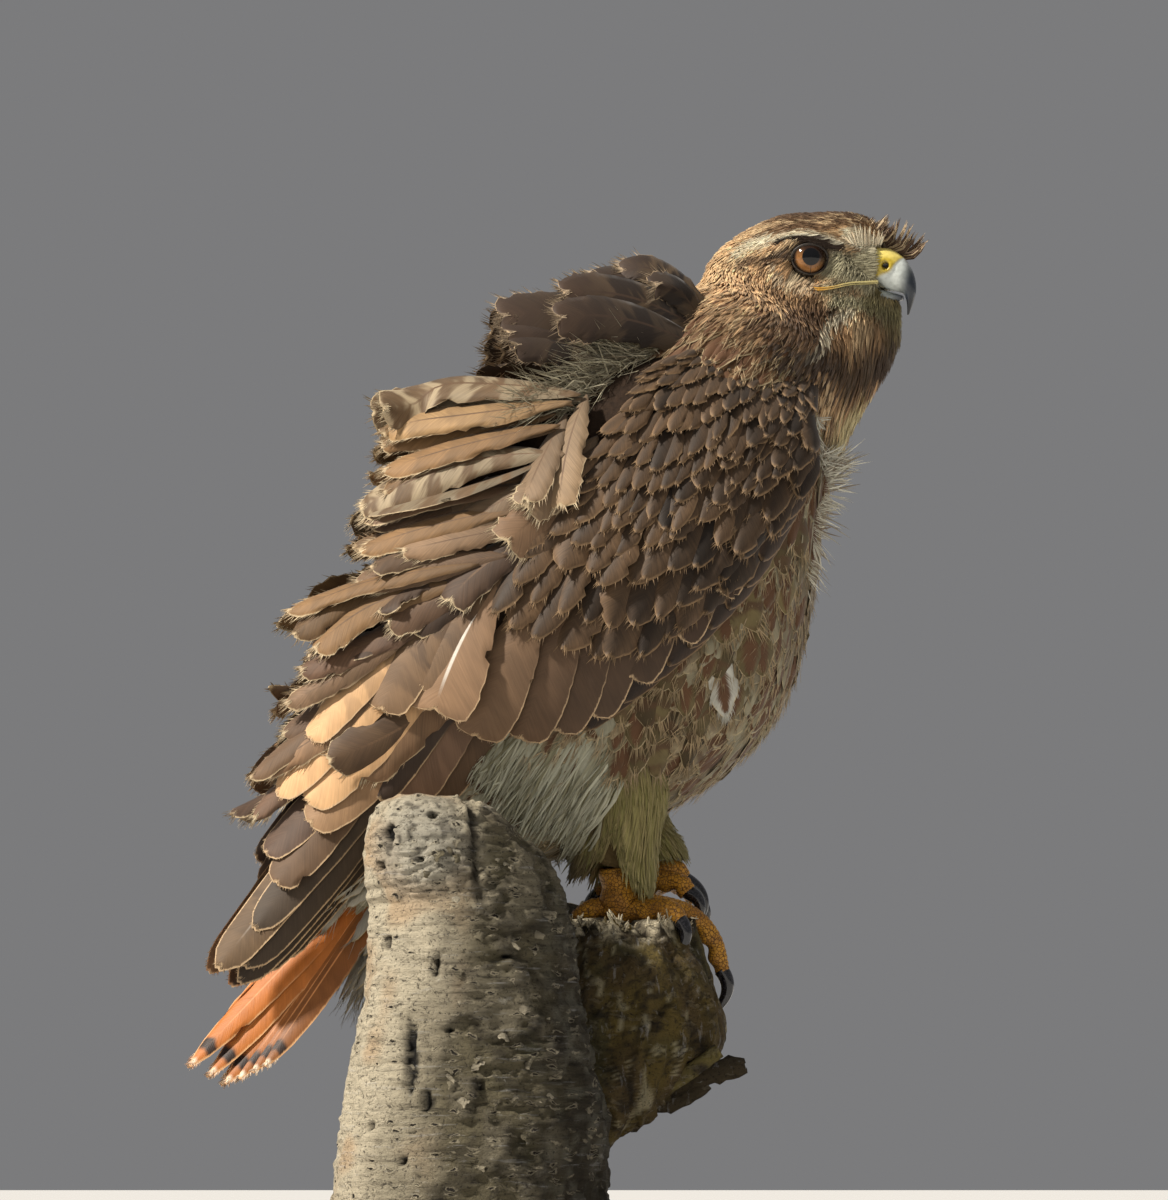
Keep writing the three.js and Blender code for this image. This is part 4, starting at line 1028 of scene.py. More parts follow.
# The head's own tufts. First the crest's fans, on the forehead and beyond the bill: where their spikes
# leave the head and end, as forward, up and right, how many there are and where they start from
FANS = [
    ([(16, 13, 3), (22, 13, 2), (26, 11.5, 1), (28.5, 9, 0)],
     [(22, 20.8, 3), (28, 20.2, 2), (32.6, 18.2, 1), (34.6, 14.6, 0)], 15, (12, 6, 0)),
    ([(29, 9, -3), (33.5, 6.8, -5), (36.5, 4.6, -7), (38.5, 2.6, -8), (39.6, 1.0, -8)],
     [(32.4, 20.4, -3), (39.6, 18, -6), (44, 14.4, -8), (46.2, 10, -9), (46.2, 5.6, -9)], 13, (20, 2, -6)),
]
FAN_BLADES = 15
# The pale patch over the lores, as forward and up, with how many tufts it has and how many blades each
PATCH_ROOTS = [(17, 5.5), (21, 4.8), (25, 4.6), (28.5, 5.5)]
PATCH_TIPS = [(12.5, 9.5), (17.5, 15), (23, 14), (27, 12.6), (31, 10.8)]
PATCH_TUFTS, PATCH_BLADES = 11, 6
BROW_BLADES, LORES_BLADES = 240, 480


def add_fan(coat, roots, tips, spikes, heart):
    """A fan of spikes, each of many blades."""
    count = spikes * FAN_BLADES
    f = np.repeat((np.arange(spikes) + rng.uniform(0.2, 0.8, spikes)) / spikes, FAN_BLADES)
    sway = np.repeat(rng.normal(0, [0.6, 0.6, 1.6], (spikes, 3)), FAN_BLADES, 0)
    reach = rng.uniform(0.4, 1.0, (count, 1))
    reach = reach * np.repeat(rng.uniform(0.75, 1.05, spikes), FAN_BLADES)[:, None]
    root, tip = on_line(roots, f), on_line(tips, f) + sway
    tip = root + (tip - root) * reach + rng.normal(0, [0.35, 0.35, 0.6], (count, 3))
    root = root + sway * [0.3, 0.2, 0.7] + rng.normal(0, [0.6, 0.6, 1.0], (count, 3))
    start = root + (heart - root) * rng.uniform(0.3, 0.6, (count, 1))
    tint = blend(srgb(84, 64, 48), srgb(188, 166, 132), (rng.random(count) < 0.35) * 0.85)
    half = rng.uniform(0.3, 0.6, count)
    # Each blade darkens towards its root, as painted shade among the blades.
    tint = by_rows(varied(tint, count, 0.15), np.linspace(0.7, 1.6, coat.rows))
    curve, out = [head_point(*x.T) for x in (start, root, tip)], head_direction(0.2, 0.3, 0.8)
    add_sprigs(coat, curve, out, half, tint, (0.9, 0.5), ragged=0.3, thick=0.12,
               lean=rng.normal(0, 0.3, count))


def add_brow(coat, side):
    """Tufts that overhang the eye."""
    root = on_line(BROW, rng.random(BROW_BLADES))
    hung = rng.uniform(-1.8, 1.2, BROW_BLADES)
    lift = 2.6 + 0.5 * hung
    forward, up, right = root.T
    start = head_point(forward + 2.5, up + hung, side * (right + lift - 1.4))
    end = head_point(forward - rng.uniform(2, 5, BROW_BLADES), up + hung - 0.6, side * (right + lift))
    # The lower tufts, under the brow's edge, are dark as painted shade.
    tint = blend(DARK, CREAM * 0.75, step(0.5, 1.2, hung))
    add_sprigs(coat, [start, (start + end) / 2, end], head_direction(0, 0.5, side),
               rng.uniform(0.3, 0.55, BROW_BLADES), varied(tint, BROW_BLADES, 0.2),
               (0.86, 0.3 + 0.3 * (side > 0)), thick=0.15)


def add_patch(coat, side):
    """The pale patch over the lores."""
    count = PATCH_TUFTS * PATCH_BLADES
    f = np.clip(np.repeat(np.linspace(0, 1, PATCH_TUFTS), PATCH_BLADES) + rng.normal(0, 0.02, count), 0, 1)
    root, tip = on_line(PATCH_ROOTS, f), on_line(PATCH_TIPS, f)
    tip = root + (tip - root) * rng.uniform(0.5, 1.1, (count, 1)) + rng.normal(0, 0.35, (count, 2))
    depth = np.interp(root[:, 0], [14, 20, 25, 30], [14.5, 11, 8, 5]) + rng.normal(0, 0.5, count)
    start, end = head_point(*root.T, side * depth), head_point(*tip.T, side * (depth + 0.4))
    half = rng.uniform(0.25, 0.45, count)
    tint = varied(blend(CREAM, TAWNY, rng.random(count) * 0.5), count, 0.15)
    add_sprigs(coat, [start, (start + end) / 2, end], head_direction(0.3, 0.2, side), half, tint,
               (0.88, 0.2 + 0.3 * (side > 0)), thick=0.15)


def face_stand(place):
    """How far out of the head's middle the face stands before the eye, at forward and up."""
    forward, up = place[:, 0], place[:, 1]
    wide = np.interp(forward, [12, 18, 22, 26, 30], [14.6, 12.2, 10.8, 9.6, 8.6])
    return wide * np.sqrt(np.clip(1 - ((up + 4) / 15) ** 2, 0.2, 1))


def add_lores(coat, side):
    """Fine tufts between the eye and the bill."""
    count = LORES_BLADES
    root = np.stack([rng.uniform(13, 24, count), rng.uniform(-12.5, 4.5, count)], 1)
    tip = root + np.stack([rng.uniform(5, 8, count), rng.normal(0.1, 0.8, count)], 1)
    tip[:, 0] = np.minimum(tip[:, 0], 29 - 0.25 * np.abs(tip[:, 1] + 3) + rng.normal(0, 0.6, count))
    start = head_point(*root.T, side * (face_stand(root) - 0.6))
    end = head_point(*tip.T, side * (face_stand(tip) + rng.uniform(0.1, 0.7, count)))
    middle = (start + end) / 2 + head_direction(0.3, 0, side) * 0.5
    tint = blend(blend(LORES, SHADED_LORES, rng.random(count)), CREAM, step(0, 5, root[:, 1]) * 0.4)
    add_sprigs(coat, [start, middle, end], head_direction(0.3, 0.1, side), rng.uniform(0.2, 0.36, count),
               varied(tint, count, 0.12), (0.84, 0.2 + 0.3 * (side > 0)), thick=0.12,
               lean=rng.normal(0, 0.25, count))


def make_tufts():
    coat = Feathers("coat_tufts", HAIR, "body_feather", **HAIR_GRID)
    for fan in FANS:
        add_fan(coat, *fan)
    for side in SIDES:
        add_brow(coat, side)
    for side in SIDES:
        add_patch(coat, side)
        add_lores(coat, side)
    coat.make()


make_tufts()

# The folded wings

# Stations of a folded wing from the wrist to the tip: upper edge, lower edge as along and up, and how
# far out it stands at its upper edge, middle and lower edge
WING_STATIONS = [
    (133, 407, 135.5, 385, 44, 50, 47), (127.3, 417.9, 132.9, 371.4, 45, 60, 55),
    (100.7, 433.8, 122.1, 325.8, 40, 72, 58), (68.1, 436.7, 101, 293.8, 30, 78, 60),
    (38, 428.4, 76.3, 271.2, 18, 78, 58), (6.8, 405.6, 45.2, 248.7, 12, 72, 54),
    (-24.7, 368.9, 10, 233, 9, 62, 48), (-51.7, 327.7, -20.7, 225.5, 8, 50, 38),
    (-74.4, 282.1, -46.8, 211, 8, 40, 31), (-92.7, 241.1, -64.2, 192.8, 9, 34, 28),
    (-115.6, 195.7, -90.4, 166, 12, 28, 27), (-131.7, 159.7, -116.6, 139.5, 16, 22, 22),
]
WING = smooth(WING_STATIONS, np.linspace(0, len(WING_STATIONS) - 1, 67))


def wing_stand(place):
    """How far out of the body's middle a folded wing stands at places in the side view."""
    flat = place.reshape(-1, 2)
    middle = (WING[:, 0:2] + WING[:, 2:4]) / 2
    start, run = middle[:-1], np.diff(middle, axis=0)
    f = np.clip(((flat[:, None] - start) * run).sum(-1) / (run**2).sum(-1), 0, 1)
    away = np.linalg.norm(flat[:, None] - start - f[..., None] * run, axis=-1)
    i = away.argmin(1)
    row = blend(WING[i], WING[i + 1], f[np.arange(len(i)), i])
    top, edge = row[:, 0:2], row[:, 2:4] - row[:, 0:2]
    b = np.clip(((flat - top) * edge).sum(-1) / (edge**2).sum(-1), -0.05, 1.05)
    upper, centre, lower = row[:, 4:].T
    stand = 2 * upper * (b - 0.5) * (b - 1) - 4 * centre * b * (b - 1) + 2 * lower * b * (b - 0.5)
    return stand.reshape(place.shape[:-1])


def wing_place(place, side):
    """Points on a wing's sheet and the way out of it."""

    def point(along, up):
        return body_point(along, up, side * wing_stand(np.stack([along, up], -1)))

    along, up = place[..., 0], place[..., 1]
    e = 4.0
    by_along = point(along + e, up) - point(along - e, up)
    by_up = point(along, up + e) - point(along, up - e)
    return point(along, up), unit(np.cross(by_up, by_along)) * -side


def bowed(roots, tips, bow):
    """Places along lines from roots to tips in the side view, bowed to one side."""
    run = (tips - roots)[:, None]
    f = np.linspace(0, 1, SPINE_POINTS)[None, :, None]
    arch = 4 * np.reshape(bow, (-1, 1, 1)) * f * (1 - f) / np.linalg.norm(run, axis=-1, keepdims=True)
    return roots[:, None] + run * f + arch * np.stack([run[..., 1], -run[..., 0]], -1)


def lifted(lift, count, bend=1.0):
    """How far feathers stand off at each point along them, from their lift at the root and the tip."""
    start, end = (np.broadcast_to(x, (count,))[:, None] for x in lift)
    return mix(start, end, np.linspace(0, 1, SPINE_POINTS)[None] ** bend)


def wing_feathers(coat, side, roots, tips, half, lift, tint, plan=ROUND_PLAN, bow=0.0, tilt=0.16,
                  bend=1.0, **more):
    """Feathers over a wing, between roots and tips in the side view, standing off its sheet by lift."""
    roots, tips = np.asarray(roots, float), np.asarray(tips, float)
    point, out = wing_place(bowed(roots, tips, bow), side)
    spine = point + out * lifted(lift, len(roots), bend)[..., None]
    coat.add(spine, out, half, plan, tint, lean=side * tilt, **more)


COVERT_LIGHT, COVERT_DARK, COVERT_RIM = srgb(104, 80, 56), srgb(46, 34, 23), srgb(152, 124, 90)
COVERT_TIPS = [
    [(54, 412), (96, 427), (127, 420)], [(24, 366), (58, 358), (92, 378), (129, 402)],
    [(-4, 340), (28, 326), (60, 327), (86, 344), (108, 366), (130, 388)],
    [(-14, 304), (8, 292), (32, 284), (58, 291), (80, 307), (102, 332), (126, 364)],
]
COVERT_ROOTS = [
    [(80, 434), (108, 438), (130, 424)], [(54, 406), (92, 420), (131, 412)],
    [(24, 380), (72, 386), (120, 408), (133, 402)], [(4, 346), (56, 350), (114, 386), (134, 392)],
]
# How far apart the rows of coverts lie, from the shoulder to the wing's lower edge, and their half widths
COVERT_GAPS, COVERT_HALVES, COVERT_LENGTHS = (4.6, 16.5), (3.4, 10.8), (17, 46)
COVERT_SPREAD = 118.0
# Dark feathers along the wing's lower front edge
EDGE_ROOTS = [(134, 392), (120, 356), (98, 324), (72, 300)]
EDGE_TIPS = [(118, 347), (94, 309), (62, 278), (30, 252)]
EDGE_COUNT, EDGE_TINT = 12, srgb(58, 42, 30)


def between_lines(lines, q, f):
    """Places on a line that lies part of the way through a stack of lines."""
    stack = [on_line(line, f) for line in lines]
    return smooth(stack, np.array([q * (len(lines) - 1)]))[0]


def covert_rows():
    """How far down the wing each row of coverts lies, from 1 at the lower edge to 0 at the shoulder."""
    rows, at = [], COVERT_SPREAD
    while at > 0:
        rows.append(at / COVERT_SPREAD)
        at -= mix(*COVERT_GAPS, at / COVERT_SPREAD)
    return rows


def add_covert_row(coat, side, number, q):
    """A row of coverts, q of the way from the shoulder to the wing's lower edge."""
    low_half = mix(*COVERT_HALVES, q)
    line = between_lines(COVERT_TIPS, q, np.linspace(0, 1, 20))
    run = np.linalg.norm(np.diff(line, axis=0), axis=1).sum()
    count = int(round(run / (1.25 * low_half))) + 1
    f = (np.arange(count) + 0.5 * (number % 2) + 0.25) / count
    tips = between_lines(COVERT_TIPS, q, f) + rng.normal(0, 0.24 * low_half, (count, 2))
    length = mix(*COVERT_LENGTHS, q) * rng.uniform(0.92, 1.08, (count, 1))
    roots = tips + unit(between_lines(COVERT_ROOTS, q, f) - tips) * length
    half = low_half * rng.uniform(0.72, 1.2, count) * mix(1.08, 0.8, f**2)
    # Darker towards the wrist and in the lower rows, with a random spread: partly their own tone and partly
    # painted shade.
    dark = np.clip(0.05 + 0.5 * f + 0.3 * q + rng.normal(0, 0.25, count), 0, 1)
    tint = varied(blend(COVERT_LIGHT, COVERT_DARK, dark), count, 0.1)
    lift = (mix(-3, -8, q), mix(1.6, 3.4, q) + rng.normal(0, 0.8, count))
    fray = {"each": int(mix(8, 22, q)), "reach": mix(1.6, 3.6, q), "low": 0.6, "spread": 0.4,
            "shade": COVERT_RIM}
    wing_feathers(coat, side, roots, tips, half, lift, tint, bend=0.8, camber=0.34, ragged=0.2, notch=0.12,
                  tilt=rng.normal(0.24, 0.14, count), fray=fray)


def make_coverts(side, name):
    surface = feather_material("coverts_" + name, rim=srgb(130, 104, 74), rim_width=(1.2, 3.0), grain=0.7,
                               core=0.5)
    coat = Feathers("coverts_" + name, surface, "wing_feather", columns=9, rows=13, cells=True,
                    replaced=("wing_" + name,), barbs="coverts_" + name)
    for number, q in enumerate(covert_rows()):
        add_covert_row(coat, side, number, q)
    f = np.linspace(0, 1, EDGE_COUNT)
    wing_feathers(coat, side, on_line(EDGE_ROOTS, f), on_line(EDGE_TIPS, f), 9.5, (-7, -1.5),
                  varied(EDGE_TINT, EDGE_COUNT, 0.08), LONG_PLAN, tilt=-0.1, camber=0.25)
    coat.make()
    coat.barbs.make()


# Long feathers: root, tip, half width, how far the tip stands, bow, how far the tip curls up, tint,
# and how barred. First those of the wing, from the lowest on
PRIMARY, SECONDARY = srgb(66, 54, 42), srgb(94, 72, 52)
TERTIAL, COVERT = srgb(206, 164, 118), srgb(150, 118, 86)
# The lowest primaries, and the feathers nearer the wrist, are darkened: partly their own tone and partly
# painted shade.
FLIGHT = [
    ((-10, 238), (-104, 150), 10, -7, 4, 0, PRIMARY * 0.6, 0),
    ((-14, 244), (-112, 144), 10, -6.5, 4, 0, PRIMARY * 0.6, 0),
    ((-18, 248), (-120, 140), 10, -6, 4, 0, PRIMARY * 0.7, 0),
    ((-34, 262), (-131, 148), 12, -5, 4, 1, srgb(104, 82, 58), 0.8),
    ((-22, 254), (-119, 147.5), 10.5, -4, 3, 0, PRIMARY * 1.1, 0),
    ((-30, 258), (-116, 165), 10, -3.2, 3, 0, PRIMARY, 0),
    ((44, 262), (8, 231), 12, -4.5, 1, 0, SECONDARY * 0.6, 0.2),
    ((28, 262), (-8, 226), 13, -4, 1, 0, SECONDARY * 0.7, 0.2),
    ((12, 266), (-22, 222), 14, -3.4, 1, 0, SECONDARY * 0.8, 0.2),
    ((-2, 272), (-40, 222), 14, -2.8, 1, 0, SECONDARY * 0.9, 0.2),
    ((-10, 286), (-54, 220), 15, -2.0, 1, 0, srgb(116, 90, 70), 0.2),
    ((-16, 282), (-61, 222), 8, -1.0, 2, 0, srgb(64, 50, 40), 0),
    ((-56, 252), (-110, 199), 11, -2.4, 2, 1, srgb(84, 64, 50), 0.1),
    ((-52, 250), (-105.6, 185), 12, -1.6, 2, 1, SECONDARY, 0),
    ((-30, 262), (-90.7, 211.5), 12.5, -0.8, 2, 1, COVERT, 0),
    ((-28, 282), (-91, 221), 13, 0, 3, 1, TERTIAL * 0.95, 0.15),
    ((-34, 296), (-102.8, 225), 12.5, 0.8, 4, 1, TERTIAL, 0.1),
    ((-40, 302), (-89, 249), 10, 1.6, 3, 1, TERTIAL, 0.3),
    ((-20, 330), (-60, 262), 14, 1.2, 3, 0, srgb(120, 94, 68), 0.6),
    ((-4, 336), (-44, 272), 14, 1.4, 2, 0, srgb(110, 86, 62), 0.5),
    ((102, 344), (86, 314), 10, 0, 1, 0, srgb(64, 47, 35), 0),
    ((88, 332), (68, 294), 11, 0.3, 1, 0, srgb(66, 49, 36), 0),
    ((70, 324), (48, 276), 12, 0.6, 1, 0, srgb(70, 53, 39), 0),
    ((54, 322), (31, 260), 12.5, 0.9, 1, 0, srgb(76, 58, 43), 0),
    ((40, 320), (17, 253), 13, 1.3, 1, 0, srgb(84, 64, 47), 0),
    ((24, 318), (1, 250), 14, 1.8, 1, 0, srgb(98, 75, 55), 0),
    ((8, 318), (-19, 251), 15, 2.4, 1, 0, srgb(112, 87, 64), 0),
    ((-12, 320), (-37, 262), 18.5, 3.2, 2, 1, srgb(142, 112, 84), 0),
]

# Which of them show a bright shaft, and how far below its tip a long feather's root lies
BRIGHT_SHAFTS = (3, 4, 10, 27)
ROOT_SUNK = 6


def long_feathers(coat, side, table, wild=0.0, tilt=0.2, fade=(1.0, 1.0), shafts=(), dark=1.0, sunk=0.0,
                  **more):
    """The feathers of a table, moved by chance where they are wild. Each fades from its root to its tip,
    darker at the root as painted shade where others cover it. dark darkens them all as painted shade.
    """
    roots, tips, *numbers, tints, bars = zip(*table)
    half, stand, bow, curl = (np.array(x, float) for x in numbers)
    tips = np.array(tips, float) + rng.normal(0, wild, (len(table), 2))
    for i in range(len(table)):
        one, top = slice(i, i + 1), stand[i] - sunk
        tint = by_rows(varied(tints[i] * dark, 1, 0.05), np.linspace(*fade, coat.rows))
        wing_feathers(coat, side, roots[one], tips[one], half[one], (top - ROOT_SUNK, top), tint,
                      bow=bow[i] + rng.normal(0, wild), curl=curl[one] + rng.normal(0, wild), bars=bars[i],
                      streak=float(i in shafts), tilt=tilt + rng.normal(0, 0.08 * wild), **more)


def make_flight(side, name):
    surface = feather_material("flight_" + name, rim=srgb(202, 172, 134), rim_width=(0.9, 2.6),
                               bar=srgb(62, 46, 34), bar_size=14, bar_reach=(0.5, 1.0),
                               shaft=srgb(214, 204, 190), few_shafts=True, grain=0.3, roughness=0.62)
    coat = Feathers("flight_" + name, surface, "wing_feather", barbs="flight_" + name, **VANE_GRID)
    long_feathers(coat, side, FLIGHT, plan=VANE_PLAN, ragged=0.05, notch=0.02, sweep=0.55, thick=0.5,
                  camber=0.14, shafts=BRIGHT_SHAFTS, fade=(0.8, 1.12),
                  fray={"each": 30, "reach": 1.6, "low": 0.8, "shade": srgb(206, 178, 140), "thin": 0.16})
    coat.make()
    coat.barbs.make()


SMOOTH_TAN, GOLD, PALE = srgb(122, 100, 76), srgb(134, 102, 66), srgb(160, 142, 114)
DOWN_ROOTS, DOWN_BLADES = [(78, 430), (60, 418), (36, 398)], 900
DOWN_PALE, DOWN_DARK = srgb(196, 188, 160), srgb(104, 90, 66)
# The scapulars, which the wind lifts, from the lowest on
SCAPULARS = [
    ((-2, 294), (-70, 232), 13, -1, 2, 0, srgb(110, 84, 60), 0.3),
    ((-60, 262), (-110, 214), 8, 1, 3, 1, srgb(96, 72, 54), 0),
    ((-56, 276), (-105, 238), 8.5, 3, 2, 2, srgb(132, 102, 74), 0.1),
    ((-40, 290), (-98, 250), 9, 2, 3, 1, srgb(90, 68, 50), 0.2),
    ((-44, 300), (-95, 262), 7, 5, 3, 4, srgb(120, 94, 70), 0.5),
    ((-34, 306), (-90, 276), 10, 3, 3, 2, srgb(92, 68, 50), 0.1),
    ((-26, 318), (-82, 288), 11.5, 6, 4, 3, GOLD * 0.85, 0),
    ((-18, 326), (-88, 304), 7.5, 8, 5, 4, GOLD * 0.8, 0.2),
    ((-14, 322), (-58, 300), 11, 3, 2, 1, srgb(88, 66, 48), 0),
    ((-6, 330), (-64, 318), 9, 6, 3, 3, srgb(104, 80, 58), 0.1),
    ((6, 352), (-62, 334), 8, 6, 4, 3, GOLD * 0.9, 0.3),
    ((4, 344), (-42, 333), 8, 6, 2, 3, srgb(126, 100, 74), 0),
    ((12, 340), (-30, 312), 12, 3, 2, 1, srgb(74, 55, 40), 0),
    ((10, 362), (-60, 344), 7.5, 4, 5, 4, srgb(96, 72, 52), 0.2),
    ((14, 376), (-56, 351), 13, 8, 5, 2, PALE, 1.0),
    ((20, 388), (-50, 366), 9, 10, 4, 3, GOLD * 1.05, 0.3),
    ((18, 396), (-49, 380), 8.5, 6, 3, 4, GOLD * 0.8, 0.2),
    ((30, 402), (-50, 397), 14, 10, 4, 4, PALE, 1.0),
    ((26, 398), (-47, 385), 10, 11, 2, 5, srgb(160, 128, 88), 0.3),
    ((14, 366), (-32, 335), 9.5, 5, 2, 0, SMOOTH_TAN * 0.9, 0.1),
    ((30, 370), (-8, 338), 13, 2.5, 2, 0, srgb(116, 90, 66), 0),
    ((34, 386), (2, 346), 12, 3.5, 2, 0, SMOOTH_TAN * 0.9, 0),
    ((22, 396), (4, 354), 11.5, 5.5, 3, 0, SMOOTH_TAN, 0),
    ((32, 404), (16, 357), 10.5, 7, 2, 0, srgb(140, 116, 88), 0),
]


def make_down(side, name):
    """Loose down that the wind lifts between the neck and the scapulars."""
    down = Feathers("barbs_down_" + name, HAIR, "pale_feather", columns=3, rows=3)
    f, g = rng.random(DOWN_BLADES), rng.random(DOWN_BLADES)
    root = on_line(DOWN_ROOTS, f) - np.stack([30 * g, 4 * g], -1)
    way = np.radians(184 + 24 * rng.standard_normal(DOWN_BLADES))
    tip = root + rng.uniform(9, 30, (DOWN_BLADES, 1)) * np.stack([np.cos(way), np.sin(way)], -1)
    out = body_direction(0, 0.7, side)
    start = body_point(*root.T, side * (26 + 10 * f))
    end = body_point(*tip.T, side * (34 + 10 * f + rng.normal(0, 3.5, DOWN_BLADES)))
    middle = (start + end) / 2 + out * 2 + rng.normal(0, 1.8, (DOWN_BLADES, 3))
    half = rng.uniform(0.16, 0.42, DOWN_BLADES)
    tint = varied(blend(DOWN_PALE, DOWN_DARK, rng.random(DOWN_BLADES) ** 1.5), DOWN_BLADES, 0.2)
    add_sprigs(down, [start, middle, end], out, half, tint, (0.5, 0.5), HAIR_PLAN, thick=0.1,
               lean=rng.normal(0, 0.6, DOWN_BLADES))
    down.make()


def make_scapulars(side, name):
    """The scapulars, with others under them that show in their gaps, and the down before them."""
    surface = feather_material("scapulars_" + name, rim=srgb(196, 174, 138), rim_width=(1.0, 3.0),
                               bar=srgb(102, 80, 56), bar_size=17, bar_reach=(0.9, 1.5),
                               shaft=srgb(100, 76, 54), grain=0.5)
    coat = Feathers("scapulars_" + name, surface, "wing_feather", columns=9, rows=21, sheet=True, cells=True,
                    barbs="scapulars_" + name)
    shape = {"plan": VANE_PLAN, "ragged": 0.24, "notch": 0.1, "sweep": 0.6, "camber": 0.22, "tilt": 0.15}
    fray = {"reach": 4.2, "low": 0.6, "spread": 0.4, "thin": 0.2}
    under = [one for one in SCAPULARS if one[1][0] < -20]
    # The scapulars' under copies are darkened to 0.62, and fade to dark roots, as painted shade in the gaps.
    long_feathers(coat, side, under, wild=6.0, fade=(0.5, 1.1), dark=0.62, sunk=3.0, **shape,
                  fray={"each": 24, "shade": srgb(176, 154, 122), **fray})
    long_feathers(coat, side, SCAPULARS, wild=2.4, fade=(0.55, 1.3), **shape,
                  fray={"each": 60, "shade": srgb(212, 194, 160), **fray})
    coat.make()
    make_down(side, name)
    coat.barbs.make()


# Mantle feathers that the wind stands up behind the neck: root, tip as along, up and right, half width,
# and how many degrees the face leans from the top towards the side
MANTLE = [
    ((84, 432, 0), (2, 448, -2), 15, 0), ((84, 432, 12), (20, 450, 12), 14, 30),
    ((84, 432, -12), (18, 448, -14), 14, -30), ((92, 434, 22), (40, 461, 18), 12, 45),
    ((92, 434, -22), (42, 458, -20), 12, -45), ((98, 432, 28), (52, 467, 20), 10, 58),
    ((76, 426, 22), (-2, 432, 30), 15, 48), ((76, 426, -22), (-2, 432, -30), 15, -48),
    ((86, 430, 26), (-4, 444, 26), 17, 58), ((86, 430, -26), (0, 442, -26), 17, -58),
    ((96, 430, 30), (24, 452, 28), 15, 64), ((96, 430, -30), (28, 450, -28), 15, -64),
]
MANTLE_RISE, MANTLE_SHADED_TINT = 6.0, srgb(58, 42, 30)


def make_mantle():
    surface = feather_material("mantle", rim=srgb(184, 158, 124), rim_width=(0.6, 2.4),
                               bar=srgb(170, 140, 104), bar_size=22, bar_reach=(0.4, 1.0),
                               shaft=srgb(60, 44, 32), grain=0.3)
    coat = Feathers("mantle", surface, "body_feather", barbs="mantle", **VANE_GRID)
    count = len(MANTLE)
    for lower in (True, False):
        roots, tips, half, lean = (np.array(x, float) for x in zip(*MANTLE))
        if lower:
            roots = roots + rng.normal(0, 2, roots.shape) - [4, 5, 0]
            tips = tips + rng.normal(0, 5, tips.shape) - [-4, 9, 0]
        start, end = body_point(*roots.T), body_point(*tips.T)
        bend = (start + end) / 2
        bend[:, 2] = np.maximum(start[:, 2], end[:, 2]) + MANTLE_RISE
        lean = np.radians(lean)
        out = body_direction(np.zeros(count), np.cos(lean), np.sin(lean))
        # The rows fade from 0.25 at the root to 1.45 at the tip: painted shade under the lifted flap and
        # painted light through the tips, over the feathers' own dark brown.
        tint = by_rows(varied(MANTLE_SHADED_TINT, count, 0.15), 0.25 + 1.2 * np.linspace(0, 1, coat.rows) ** 3)
        coat.add(arc(start, bend, end, SPINE_POINTS), out, half * 0.95, VANE_PLAN, tint, ragged=0.3,
                 notch=0.1, sweep=0.7, thick=0.5, bars=rng.random(count) * 0.25, camber=0.25,
                 curl=rng.uniform(-4, 5, count),
                 fray={"each": 80, "reach": 5.0, "low": 0.6, "shade": srgb(190, 168, 138), "thin": 0.2})
    coat.make()
    coat.barbs.make()


# The plate that carries a wing's feathers

PLATE_DEPTH, PLATE_THICKNESS, PLATE_REACH = 6.0, 7.0, 0.82


def make_wing_plate(side, name):
    rows = smooth(WING_STATIONS, np.linspace(0, 9.4, 60))
    b = np.linspace(0.06, PLATE_REACH, 24)
    place = rows[:, None, 0:2] + (rows[:, None, 2:4] - rows[:, None, 0:2]) * b[None, :, None]
    point, out = wing_place(place, side)
    outer, inner = point - out * PLATE_DEPTH, point - out * (PLATE_DEPTH + PLATE_THICKNESS)
    points, faces = capped_grid(np.concatenate([outer, inner[:, ::-1]], 1))
    # Dark all over, as painted shade where the plate shows between the feathers.
    tint = np.broadcast_to(DARK, points.shape)
    mesh = mesh_of("wing_plate_" + name, points, faces, {"tint": tint})
    link("wing_plate_" + name, mesh, bpy.data.materials["coat_ground"])


for side, name in SIDES.items():
    make_wing_plate(side, name)
    make_flight(side, name)
    make_coverts(side, name)
    make_scapulars(side, name)
make_mantle()

# The tail

# Where the feathers start and end as along and up, and the way out of the fan's faces
TAIL_ROOT = (-50, 200)
TAIL_TIPS = [(-140, 102.5), (-132, 99), (-126, 96), (-121, 99), (-116, 102.5), (-111.5, 106)]
TAIL_OUT = (-0.733, 0.68)
# How far the fan's two halves slope, how far right its feathers start and end and how far apart they lie,
# and how far each lies under the one before
TAIL_SLOPE = math.radians(50)
TAIL_MIDDLE, TAIL_SPACING, TAIL_DROP = (3, 5.5), (1.2, 2.2), 1.1
ORANGE, TAIL_TIP = srgb(188, 112, 50), srgb(236, 222, 198)


def tail_place(along, up, right, drop):
    return body_point(along - TAIL_OUT[0] * drop, up - TAIL_OUT[1] * drop, right)


